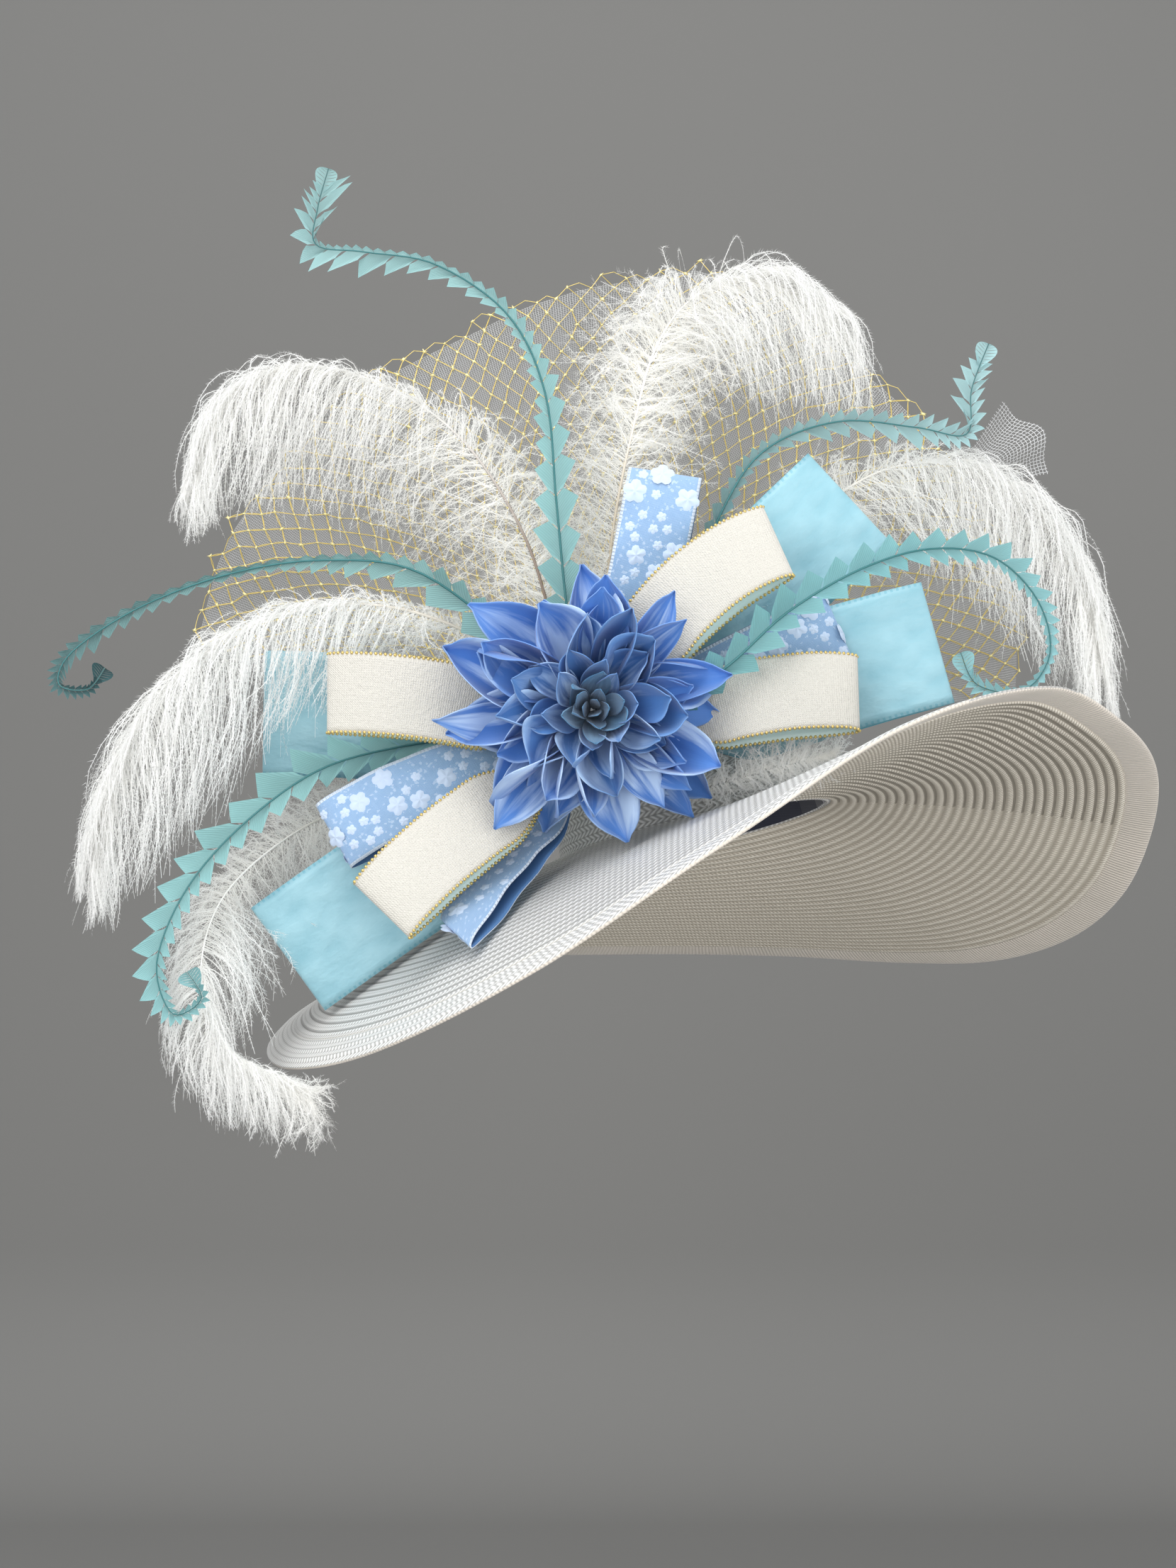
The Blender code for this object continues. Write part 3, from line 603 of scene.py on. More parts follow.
def loop_surface(ribbon, azimuth, length, root_y, toward, late, roll, curl, belly, seed):
    """The ribbon's middle surface: u runs out on the viewer's side to 0.5 and back, v across."""
    wide = RIBBON_WIDE[ribbon] * MM
    ruffle = RUFFLE[ribbon] * MM
    steps = 24

    def place(u, v):
        first, reach = loop_reach(length, u)
        turn = 2 * math.pi * u
        apart = belly * math.sin(turn) * math.sin(turn / 2) ** 1.2 + ROOT_SPREAD * math.cos(turn / 2)
        along = Vector()
        for step in range(steps):
            heading = azimuth + curl * ((step + 0.5) / steps * reach - 0.5)
            along += Vector((math.cos(heading), 0, math.sin(heading))) * length * reach / steps
        heading = azimuth + curl * (reach - 0.5)
        side = Vector((-math.sin(heading), 0, math.cos(heading)))
        eased = roll * smooth_share((reach - first) / ROLL_EASE)
        across = side * math.cos(eased) + VIEWER * math.sin(eased)
        thick = VIEWER * math.cos(eased) - side * math.sin(eased)
        opened = smooth_share((reach - first) / SPREAD_EASE)
        gathered = ROOT_WIDE + (wide - ROOT_WIDE) * opened
        pleat = math.sin(PLEATS * math.pi * v + seed) * (1 - opened) * min((reach - first) * 9, 1)
        wave = math.sin(seed + reach * length / WAVE_STEP) * math.cos(2.2 * v + seed * 3)
        crinkle = math.sin(seed * 5 + reach * length / CRINKLE_STEP + 4 * v) * (2 * v - 1) ** 2
        apart += PLEAT_DEEP * pleat + 0.6 * ruffle * opened * (wave + crinkle)
        out = max(along.length - LOOP_START, 0) / (length - LOOP_START)
        forward = math.tan(toward) * (length - LOOP_START) * out**late
        root = Vector((PAD_X, root_y, PAD_Z)) + VIEWER * forward
        return root + along + thick * apart + across * gathered * (v - 0.5)

    return place


def laid_on(place, u, v, lift, turn=0.0, size=1.0):
    """The pose of something sewn flat on a surface, standing off it by the lift."""
    here = place(u, v)
    ahead = (place(u + 0.004, v) - place(u - 0.004, v)).normalized()
    across = place(u, min(v + 0.01, 1)) - place(u, max(v - 0.01, 0))
    up = ahead.cross(across).normalized()
    axes = Matrix((ahead, up.cross(ahead), up)).transposed().to_4x4()
    turned = axes @ Matrix.Rotation(turn, 4, "Z")
    return Matrix.Translation(here + up * lift) @ turned @ Matrix.Scale(size, 4)


def repeated(template, poses):
    """One bmesh that holds the template at each of the poses."""
    shape = bpy.data.meshes.new("template")
    template.to_mesh(shape)
    template.free()
    points = np.array([(*vert.co, 1) for vert in shape.vertices])
    faces = [list(face.vertices) for face in shape.polygons]
    bpy.data.meshes.remove(shape)
    moves = np.array([[list(row) for row in pose] for pose in poses])
    placed = np.einsum("pij,vj->pvi", moves, points)[:, :, :3]
    made = bpy.data.meshes.new("repeated")
    made.from_pydata(
        placed.reshape(-1, 3).tolist(),
        [],
        [[corner + len(points) * index for corner in face] for index in range(len(poses)) for face in faces],
    )
    bm = bmesh.new()
    bm.from_mesh(made)
    bpy.data.meshes.remove(made)
    return bm


def edge_band(across, ribbon, margin):
    """One within the margin of either long edge of the ribbon, and zero elsewhere."""
    return across.math("ABSOLUTE").math("GREATER_THAN", RIBBON_WIDE[ribbon] / 2 - margin)


def stretched(place, along, across):
    """The cloth's UV place, scaled apart in its two directions."""
    made = textured(place, "ShaderNodeMapping")
    made.inputs["Scale"].default_value = (along, across, 1)
    return made.outputs[0]


satin, shader = finish("aqua_satin", (0.20, 0.48, 0.55), 0.33, Sheen_Weight=0.2, Specular_IOR_Level=0.5)
along, across, place = cloth_axes(shader)
# One broad noise raises the satin's soft folds and also paints its sheen: lighter and darker streaks in the
# colour are painted highlight and painted shade.
folds_and_painted_sheen = noise(stretched(place, 0.03, 0.05), 1.0, 4.0)
stitch = edge_band(across, "satin", 2.2) * along.striped(4.2).math("GREATER_THAN", 0.6)
# Painted sheen: the colour runs with the noise from a shaded aqua to a highlighted one.
tone_with_painted_light = folds_and_painted_sheen.blend((0.13, 0.34, 0.42), (0.40, 0.64, 0.71))
paint(shader, (stitch * 0.55).blend(tone_with_painted_light, (0.10, 0.36, 0.46)))
raise_by(shader, folds_and_painted_sheen + along.striped(0.5) * 0.01, 6 * MM, 0.5)

canvas, shader = finish("cream_canvas", (0.78, 0.74, 0.66), 0.75, Sheen_Weight=0.3)
along, across, place = cloth_axes(shader)
weave = along.striped(1.5) * (across + along).striped(1.5)
slub = noise(place, 0.9, 4.0)
paint(shader, (weave * 0.5 + slub * 0.5).blend((0.50, 0.48, 0.425), (0.72, 0.70, 0.645)))
raise_by(shader, weave + slub + noise(place, 0.28, 3.0) * 2.5, 0.4 * MM, 0.9)

floral_cloth, shader = finish("blue_floral_ground", (0.29, 0.46, 0.70), 0.7, Sheen_Weight=0.25)
along, across, place = cloth_axes(shader)
weave = along.striped(0.8) * across.striped(0.8)
piping = edge_band(across, "floral", 2.0)
motif = Varying(textured(place, "ShaderNodeTexVoronoi", Scale=0.28).outputs["Distance"])
spray = (motif + noise(place, 0.7)).math("LESS_THAN", 0.78)
ground = noise(place, 0.35, 4.0).blend((0.22, 0.37, 0.60), (0.31, 0.46, 0.67))
ground = (spray * 0.55).blend(ground, (0.55, 0.66, 0.80))
paint(shader, (piping * 0.75).blend(ground, (0.72, 0.79, 0.88)))
raise_by(shader, weave + piping * along.striped(2.4) * 3.0, 0.35 * MM, 0.7)

inside_satin = finish("inside_of_satin", (0.16, 0.47, 0.58), 0.5)[0]
inside_cream = finish("inside_of_cream", (0.66, 0.80, 0.77), 0.7)[0]
inside_floral = finish("inside_of_floral", (0.08, 0.19, 0.40), 0.7)[0]
gold_bead = finish("gold_bead", (0.62, 0.47, 0.17), 0.3, Metallic=0.6)[0]
sewn_white = finish("sewn_white_thread", (0.50, 0.60, 0.76), 0.6, Sheen_Weight=0.3)[0]
FINISHES = {
    "satin": (satin, inside_satin),
    "cream": (canvas, inside_cream),
    "floral": (floral_cloth, inside_floral),
}
BEAD_PITCH = 3.0 * MM
BEAD_RADIUS = 1.3 * MM
BEAD_TRIES = 1600               # places along an edge where the next bead may come
FLOWER_RADII = (3.6, 7.4, 8.6)
FLOWER_TRIES = 900
FLOWERS_APART = 0.2 * MM
random.seed(11)


def sewn_flower(u, v):
    """A five-petalled flower of radius 1, raised in stitches, with a button in the middle."""
    turn = 2 * math.pi * u
    petal = abs(math.cos(2.5 * turn))
    reach = v * (0.74 + 0.26 * petal**0.6)
    stitches = 0.13 * math.sin(math.pi * v**0.8) ** 0.7 * (0.3 + 0.7 * petal)
    button = 0.17 * math.exp(-((v / 0.22) ** 2))
    rise = stitches + button if v < 1 else -0.02
    return Vector((reach * math.cos(turn), reach * math.sin(turn), rise))


for number, (name, ribbon, azimuth, length, root_y, toward, late, roll, curl, belly) in enumerate(LOOPS):
    length *= MM
    surface = loop_surface(
        ribbon,
        math.radians(azimuth),
        length,
        root_y * MM,
        math.radians(toward),
        late,
        math.radians(roll),
        math.radians(curl),
        belly * MM,
        number * 1.7,
    )
    wide = RIBBON_WIDE[ribbon]

    def loop_chart(u, v):
        first, reach = loop_reach(length, u)
        out = (reach - first) * length / MM
        return out if u <= 0.5 else 2 * (1 - first) * length / MM - out, (v - 0.5) * wide

    cloth = unrolled(*RIBBON_GRID, surface, loop_chart)
    bmesh.ops.recalc_face_normals(cloth, faces=cloth.faces)
    cloth.normal_update()
    front = min(cloth.faces, key=lambda face: (face.calc_center_median() - surface(0.25, 0.5)).length)
    if front.normal.y > 0:
        bmesh.ops.reverse_faces(cloth, faces=cloth.faces)
    piece = add_piece(f"{name}_ribbon", cloth, FINISHES[ribbon], [name])
    wall = piece.modifiers.new("thickness", "SOLIDIFY")
    wall.thickness = RIBBON_THICK
    wall.offset = 0
    wall.material_offset = 1
    if ribbon == "cream":
        bead = bmesh.new()
        bmesh.ops.create_icosphere(bead, subdivisions=1, radius=BEAD_RADIUS)
        poses = []
        for edge in (0.0, 1.0):
            last = surface(0.005, edge)
            for step in range(1, BEAD_TRIES):
                here = surface(0.005 + 0.99 * step / BEAD_TRIES, edge)
                if (here - last).length >= BEAD_PITCH:
                    poses.append(Matrix.Translation(here))
                    last = here
        beads = repeated(bead, poses)
        add_piece(f"{name}_beads", beads, [gold_bead])
    if ribbon == "floral":
        spots = []
        for attempt in range(FLOWER_TRIES):
            u, v = random.uniform(0.14, 0.86), random.uniform(0.13, 0.87)
            radius = random.choice(FLOWER_RADII) * MM
            here = surface(u, v)
            room = radius + FLOWERS_APART
            if all((here - other).length > room + near for other, near, pose in spots):
                pose = laid_on(surface, u, v, RIBBON_THICK / 2, random.uniform(0, 6), radius)
                spots.append((here, radius, pose))
        flower = unrolled(20, 4, sewn_flower, None, True)
        flowers = repeated(flower, [pose for here, radius, pose in spots])
        add_piece(f"{name}_sewn_flowers", flowers, [sewn_white])
    flat = (wide * MM, 2 * (length - LOOP_START) + belly * MM)

# Ostrich plumes: a thin rachis carries some hundreds of soft barbs on each side, and each barb
# is fringed with barbules. The barbs fall in a curtain and gather in clumps towards their tips.
BARB_SWEEP = 0.55
PLUMES = {
    "plume_upper_left": [
        # x_mm, y_mm, z_mm, left barb_mm, right barb_mm, hang: how far the barbs fall
        (-90.4, -86, 84.4, 6, 6, 0.0),
        (-104, -78, 150, 76, 48, 0.1),
        (-126, -66, 216, 98, 58, 0.3),
        (-170, -54, 282, 92, 46, 0.6),
        (-230, -48, 322, 98, 24, 0.9),
        (-290, -58, 330, 102, 22, 1.0),
        (-334, -78, 298, 80, 36, 1.0),
        (-350, -94, 248, 48, 40, 0.9),
    ],
    "plume_upper_centre": [
        (-71, -86, 93, 6, 6, 0.0),
        (-67, -74, 150, 46, 44, 0.0),
        (-60, -58, 220, 62, 58, 0.1),
        (-46, -46, 290, 62, 62, 0.2),
        (-30, -36, 348, 64, 74, 0.4),
        (-2, -30, 386, 54, 98, 0.7),
        (44, -32, 398, 26, 108, 0.9),
        (94, -44, 370, 34, 82, 0.9),
    ],
    "plume_right": [
        (-38, -86, 75, 6, 6, 0.0),
        (2, -72, 120, 34, 34, 0.1),
        (62, -52, 206, 52, 62, 0.3),
        (126, -34, 258, 40, 84, 0.6),
        (190, -24, 266, 32, 108, 0.8),
        (242, -26, 238, 30, 108, 0.9),
        (274, -42, 182, 38, 98, 1.0),
        (282, -66, 118, 40, 84, 1.0),
    ],
    "plume_left": [
        (-96, -100, 77, 5, 5, 0.0),
        (-136, -112, 124, 16, 14, 0.1),
        (-196, -118, 152, 50, 13, 0.5),
        (-256, -120, 156, 82, 15, 0.8),
        (-316, -122, 136, 104, 22, 0.9),
        (-364, -128, 96, 106, 26, 1.0),
        (-394, -136, 42, 88, 34, 1.0),
        (-408, -142, -6, 52, 36, 0.9),
    ],
    "plume_lower_left": [
        (-99, -86, 50, 6, 6, 0.0),
        (-160, -66, 40, 42, 30, 0.1),
        (-220, -58, 28, 62, 44, 0.2),
        (-280, -68, 4, 76, 42, 0.3),
        (-326, -108, -40, 74, 40, 0.5),
        (-334, -150, -92, 72, 52, 0.7),
        (-310, -180, -138, 48, 52, 0.7),
        (-258, -198, -162, 24, 40, 0.4),
    ],
}
PALE_HORN = (0.70, 0.64, 0.54)
DARKER_HORN = {
    "plume_upper_left": (0.20, 0.13, 0.09),
    "plume_upper_centre": (0.52, 0.42, 0.28),
}
BARBS = 1150
BARBULES = 32
BARB_STEPS = 7
BARB_HALF = 0.36                # half a barb's width at its foot, in millimetres
BARBULE_LONG = (3.2, 6.4)
BARBULE_HALF = 0.2
LOCK_BARBS = (4, 18)            # how many barbs cling together
STRAY_SHARE = 0.15
FULL_FLUFF = 46 * MM            # shorter barbs have shorter barbules
HANG_SIDE = 0.7                 # least length of a barb that falls over the quill, of the longer side's
RACHIS_RADII = (1.3 * MM, 0.3 * MM)
BRIM_TOP_Z = 140 * MM           # no part of the brim is as high as this


def route_point(rows, position):
    return Vector([between(rows, column, position) for column in range(3)]) * MM


def route_frame(rows, position):
    """The route's point, its direction, and the direction of its left side as seen from the front."""
    here = route_point(rows, position)
    ahead = (route_point(rows, position + 0.01) - route_point(rows, position - 0.01)).normalized()
    return here, ahead, VIEWER.cross(ahead).normalized()


def shaft(rows, far, root_radius, tip_radius):
    """A round tapering quill along the route as far as a position of it."""

    def place(u, v):
        here, ahead, left = route_frame(rows, far * v)
        turn = 2 * math.pi * u
        radius = root_radius + (tip_radius - root_radius) * v
        return here + (left * math.cos(turn) + left.cross(ahead) * math.sin(turn)) * radius

    bm = unrolled(6, 60, place, lambda u, v: (u, v), True)
    bmesh.ops.holes_fill(bm, edges=bm.edges, sides=6)
    bmesh.ops.recalc_face_normals(bm, faces=bm.faces)
    return bm


def barb_template():
    """A barb's strips as (share along, across_mm, ahead_mm, out of plane_mm) rows, and its faces."""
    points, faces = [], []
    for step in range(BARB_STEPS + 1):
        share = step / BARB_STEPS
        half = BARB_HALF * (1 - 0.6 * share)
        points += [(share, -half, 0, 0), (share, half, 0, 0)]
        if step:
            near = 2 * step - 2
            faces.append((near, near + 1, near + 3, near + 2))
    for number in range(BARBULES):
        share = 0.03 + 0.95 * (number + random.uniform(-0.3, 0.3)) / BARBULES
        reach = random.uniform(*BARBULE_LONG) * (1 - 0.4 * share)
        for side in (1, -1):
            near = len(points)
            swing = random.uniform(0.25, 0.85)
            lift = random.uniform(-0.6, 0.6) * reach
            points += [
                (share, 0, -BARBULE_HALF, 0),
                (share, 0, BARBULE_HALF, 0),
                (share, side * reach * swing, reach * (1 - 0.5 * swing), lift),
            ]
            faces.append((near, near + 1, near + 2))
    return np.array(points), faces


def clump(points, sides, tightness):
    """Pulls neighbouring barbs together into strands, each by its own share, and leaves some stray."""
    pulled = points.copy()
    dice = random.Random(7)
    for side in (0, 1):
        members = [index for index, own in enumerate(sides) if own == side]
        while members:
            size = dice.randint(*LOCK_BARBS)
            lock, members = members[:size], members[size:]
            middle = points[lock].mean(axis=0)
            for index in lock:
                pull = 0.0 if dice.random() < STRAY_SHARE else dice.uniform(0.6, 1.0)
                pulled[index] += (middle - points[index]) * pull * tightness[index]
    return pulled


def barb_path(rows, position, side):
    """A barb's foot, middle and tip: it stands out by the root, and hangs before the quill further out."""
    here, ahead, left = route_frame(rows, min(max(position, 0.0), 1.0))
    hang = between(rows, 5, position)
    droops = smooth_share((hang - 0.35) / 0.4)
    lengths = [between(rows, column, position) * MM for column in (3, 4)]
    barb = lengths[side] * random.uniform(0.5 + 0.3 * droops, 1.12)
    out = left * (-1 if side else 1)
    if out.z > 0:
        barb = max(barb, max(lengths) * HANG_SIDE * droops * random.uniform(0.75, 1.1))
    wild = 0.42 - 0.29 * droops
    stray = Vector([random.gauss(0, wild) for axis in range(3)])
    stray.y *= 0.45 + 0.55 * droops
    puff = Vector((0, random.uniform(-0.45, 0.25) * droops + random.uniform(-0.2, 0.5) * (1 - droops), 0))
    sweep = ahead * (BARB_SWEEP * (1 - 0.55 * droops) + 1.5 * smooth_share((position - 0.72) / 0.28))
    fall = Vector((0, -0.08, -1)) * hang
    spread = 1 - (0.8 if out.z > 0 else 0.35) * droops
    first = (out * spread + sweep + puff + stray + fall * 0.5).normalized()
    over = droops * max(out.z, 0)
    arch = Vector((0, -0.12 * droops - 0.12 * over, 0.06 * over + random.uniform(0.0, 0.10) * droops))
    middle = (first * 0.5 + arch) * barb
    last = (out * 0.5 * (1 - 0.9 * droops) + ahead * 0.22 + puff * 0.6 + stray + fall).normalized()
    tip = middle + (last * 0.58 + Vector((0, -0.05, -0.25)) * over) * barb
    return here, middle, tip, droops


def plume_barbs(rows, count):
    """All the barbs of a plume as arrays: points, faces and a shade for each point, which is a random
    variation from barb to barb plus painted shade towards the barbs' feet and on the barbs that stand rather
    than hang.
    """
    template, faces = barb_template()
    barbs = []
    for number in range(count):
        side = number % 2
        spot = max(number // 2 + random.uniform(-0.4, 0.4), 0) / (count / 2)
        foot, middle, tip, droops = barb_path(rows, 0.015 + 0.98 * spot**0.75, side)
        # Each barb's own random variation, plus painted shade on the barbs that stand rather than hang.
        tone_with_painted_light = random.uniform(-0.1, 0.1) + 0.2 * (1 - droops)
        barbs.append((foot, foot + middle, foot + tip, side, tone_with_painted_light, droops))
    feet, middles, tips, sides, tones_with_painted_shade, droops = [np.array(column) for column in zip(*barbs)]
    middles = clump(middles, sides, 0.1 + 0.5 * droops) - feet
    tips = clump(tips, sides, 0.25 + 0.65 * droops) - feet
    droops = droops[:, None, None]
    share = template[:, 0][None, :, None]
    dice = np.random.default_rng(5)
    lengths = np.linalg.norm(tips, axis=1)[:, None, None]
    phases = dice.uniform(0, 6.3, (count, 1, 3))
    waves = dice.uniform(4, 9, (count, 1, 1))
    wave = np.sin(share * waves + phases) * share * lengths * (0.13 - 0.075 * droops)
    curve = wave + 4 * middles[:, None] * share * (1 - share) + tips[:, None] * share * (2 * share - 1)
    slope = 4 * middles[:, None] * (1 - 2 * share) + tips[:, None] * (4 * share - 1)
    slope /= np.linalg.norm(slope, axis=2, keepdims=True) + 1e-9
    across = np.cross(slope, dice.normal(size=(count, 1, 3)))
    across /= np.linalg.norm(across, axis=2, keepdims=True) + 1e-9
    outward = np.cross(slope, across)
    is_tip = (np.abs(template[:, 1]) > 0.5)[None, :, None]
    fluff = (1.5 - 0.7 * droops) * np.clip(lengths / FULL_FLUFF, 0.35, 1)
    offset = template[None, :, 1:] * MM * (1 + is_tip * (fluff - 1))
    points = feet[:, None] + curve + across * offset[..., 0:1] + slope * offset[..., 1:2]
    points += outward * offset[..., 2:3]
    # Painted shade towards each barb's foot, where the barbs crowd by the rachis.
    shade = tones_with_painted_shade[:, None] + 0.35 * (1 - template[:, 0][None, :]) ** 2
    starts = range(0, count * len(template), len(template))
    all_faces = [tuple(corner + start for corner in face) for start in starts for face in faces]
    return points.reshape(-1, 3), all_faces, np.clip(shade.reshape(-1), 0, 1)


def rest_on_brim(points):
    """Lifts the points that would be under the brim, or in it, onto its upper side."""
    above = Vector((0, 0, 200 * MM))
    for point in points:
        if point[2] < BRIM_TOP_Z:
            hit = brim_tree.ray_cast(Vector(point) + above, -above, above.length)[0]
            if hit:
                point[2] = hit.z + 0.6 * MM


def add_barbs(name, points, faces, shade, stands_for=()):
    mesh = bpy.data.meshes.new(name)
    mesh.from_pydata(points.tolist(), [], faces)
    mesh.attributes.new("shade", "FLOAT", "POINT").data.foreach_set("value", shade)
    add_mesh(name, mesh, [barb_white], stands_for)


def let_light_through(shader, share, colour):
    """Mixes in light that passes through the thin cloth or barb."""
    tree = shader.id_data
    thin = tree.nodes.new("ShaderNodeBsdfTranslucent")
    thin.inputs["Color"].default_value = (*colour, 1)
    mixed = tree.nodes.new("ShaderNodeMixShader")
    mixed.inputs[0].default_value = share
    tree.links.new(shader.outputs[0], mixed.inputs[1])
    tree.links.new(thin.outputs[0], mixed.inputs[2])
    tree.links.new(mixed.outputs[0], tree.nodes["Material Output"].inputs["Surface"])


barb_white, shader = finish(
    "white_ostrich_barb",
    (0.93, 0.93, 0.92),
    0.8,
    Specular_IOR_Level=0.2,
    Sheen_Weight=0.3,
    Emission_Color=(0.95, 0.93, 0.87, 1),
)
reader = shader.id_data.nodes.new("ShaderNodeAttribute")
reader.attribute_name = "shade"
shade = Varying(reader.outputs["Fac"])
# The shade attribute mixes the barbs toward a creamier grey: painted shade, with some random variation from
# barb to barb.
paint(shader, shade.blend((0.91, 0.91, 0.90), (0.88, 0.86, 0.81)))
# A faint glow stands for light passed on between the fibres of the down, which few bounces show.
shader.id_data.links.new((shade * 0.13).socket, shader.inputs["Emission Strength"])
let_light_through(shader, 0.5, (0.99, 0.99, 0.98))
for name, rows in PLUMES.items():
    random.seed(name)
    points, faces, shade = plume_barbs(rows, BARBS)
    if name == "plume_right":
        rest_on_brim(points)
    add_barbs(f"{name}_barbs", points, faces, shade, [name])
    colour = DARKER_HORN.get(name, PALE_HORN)
    horn, shader = finish(f"{name}_horn", colour, 0.45)
    bleached = (cloth_axes(shader)[1] * 1.9).math("MINIMUM", 1.0) ** 3.0
    paint(shader, bleached.blend(colour, (0.90, 0.89, 0.86)))
    add_piece(f"{name}_rachis", shaft(rows, 0.95, *RACHIS_RADII), [horn])

# One short white feather of the same kind is tucked in under the ribbons on the right. Its
# root is stitched to the pad, and it lies along the top of the brim.
TUCKED = [
    # brim angle_deg, reach, height_mm over the brim, left barb_mm, right barb_mm
    (-96, 0.10, 18, 6, 6),
    (-82, 0.20, 16, 28, 22),
    (-68, 0.28, 14, 34, 24),
    (-57, 0.33, 12, 22, 18),
]
random.seed(3)
laid = [
    (*(brim_place(angle, reach, height * MM) / MM), left, right, 0.1)
    for angle, reach, height, left, right in TUCKED
]
points, faces, shade = plume_barbs(laid, BARBS // 4)
add_barbs("tucked_feather_barbs", points, faces, shade)

# Trimmed quills: stiff dyed feathers whose vanes are cut into teeth that point to the tip, with
# a small leaf of vane left at the very end. Their roots are pushed in behind the flower.
QUILLS = {
    "quill_top": [
        # x_mm, y_mm, z_mm, left tooth_mm, right tooth_mm as seen from the front, going to the tip
        (-80, -95, 90.5, 6, 6),
        (-92, -98, 150, 13, 12),
        (-100, -94, 228, 12, 12),
        (-108, -86, 306, 7, 9),
        (-134, -78, 362, 5, 6),
        (-184, -74, 398, 11, 3),
        (-234, -74, 407, 15, 3),
        (-268, -74, 412, 14, 4),
        (-267, -76, 436, 9, 18),
        (-259, -78, 464, 2, 2),
    ],
    "quill_upper_right": [
        (-56, -103, 90, 6, 6),
        (-18, -102, 146, 7, 8),
        (14, -101, 224, 6, 5),
        (44, -94, 266, 5, 6),
        (96, -78, 288, 6, 12),
        (152, -66, 286, 8, 11),
        (188, -62, 282, 10, 7),
        (192, -60, 314, 11, 9),
        (204, -60, 346, 2, 2),
    ],
    "quill_right": [
        (-40, -147, 76, 5, 5),
        (12, -167, 112, 13, 12),
        (52, -160, 148, 13, 12),
        (102, -144, 178, 12, 10),
        (152, -124, 194, 11, 10),
        (198, -108, 190, 11, 6),
        (230, -98, 162, 8, 5),
        (240, -92, 126, 4, 3),
        (222, -90, 100, 4, 4),
        (190, -92, 104, 6, 6),
        (178, -94, 126, 2, 2),
    ],
    "quill_left": [
        (-94.5, -112, 79, 6, 6),
        (-132, -122, 132, 15, 9),
        (-192, -126, 178, 14, 7),
        (-254, -128, 186, 8, 3),
        (-316, -132, 177, 3, 2.5),
        (-376, -138, 154, 6, 3),
        (-420, -144, 124, 8, 5),
        (-428, -150, 102, 3, 5),
        (-408, -154, 98, 3, 4),
        (-396, -156, 112, 2, 2),
    ],
    "quill_lower_left": [
        (-100.4, -105, 60, 6, 6),
        (-160, -105, 66, 12, 14),
        (-212, -108, 60, 12, 15),
        (-262, -122, 44, 12, 15),
        (-308, -146, 8, 10, 14),
        (-342, -160, -34, 8, 13),
        (-358, -174, -80, 7, 11),
        (-346, -184, -112, 4, 6),
        (-326, -190, -102, 3, 4),
        (-334, -196, -84, 2, 2),
    ],
}
TOOTH_FOOT = 1.35               # a tooth's foot along the quill, for each unit that it stands out
TOOTH_SWEEP = 1.15              # how far a barb leans to the tip for each unit that it stands out
TOOTH_SHAPE = (0.34, 1.0, 0.78, 0.56, 0.34)  # how far it stands out, in equal steps along its foot
SHORTEST_FOOT = 9 * MM
LEAF_FROM = 0.93                # the uncut leaf at the tip starts here along the route
LEAF_HALF = 7.5 * MM
LEAF_SWEEP = 0.4
LEAF_STEPS = 8
SHAFT_RADII = (0.9 * MM, 0.25 * MM)


def route_length(rows):
    stops = [route_point(rows, step / 60) for step in range(61)]
    return sum((there - here).length for here, there in zip(stops, stops[1:]))


def cut_vane(bm, layer, rows, side, near, far, reaches, sweep, tilt):
    """A stretch of vane whose barbs slant to the tip and stand out by the reaches, in equal steps."""
    made = bmesh.ops.create_grid(bm, x_segments=4, y_segments=6, size=0.5)
    for vert in made["verts"]:
        share, out = vert.co.x + 0.5, vert.co.y + 0.5
        position = near + (far - near) * share
        for loop in vert.link_loops:
            loop[layer].uv = (position, out)
        here, ahead, left = route_frame(rows, position)
        reach = np.interp(share, np.linspace(0, 1, len(reaches)), reaches) * out
        bowed = 0.10 * max(reaches) * math.sin(math.pi * out) * (1 - share)
        droop = VIEWER * (tilt * reach - 0.9 * MM * math.sin(math.pi * out))
        vert.co = here + left * side * (reach - bowed + 0.4 * MM) + ahead * reach * sweep + droop


def vane_finish(name, near, far):
    """Trimmed vane in fine slanting barbs, dyed from one colour at the root to another at the tip, with
    painted shade that is darker by the shaft and between the barb lines, and a random mottle.
    """
    made, shader = finish(name, far, 0.55, Sheen_Weight=0.2)
    position, out, place = cloth_axes(shader)
    lines = position.striped(1 / 300)
    dye = position.blend(near, far)
    # A darker copy of the dye, used for the painted shade.
    shaded_dye = position.blend(tuple(0.5 * value for value in near), tuple(0.55 * value for value in far))
    lit = out * 0.6 + lines * 0.35 + noise(object_place(shader), 40.0) * 0.25
    paint(shader, lit.math("MINIMUM", 1.0).blend(shaded_dye, dye))
    raise_by(shader, lines, 0.25 * MM, 0.6)
    let_light_through(shader, 0.3, far)
    return made


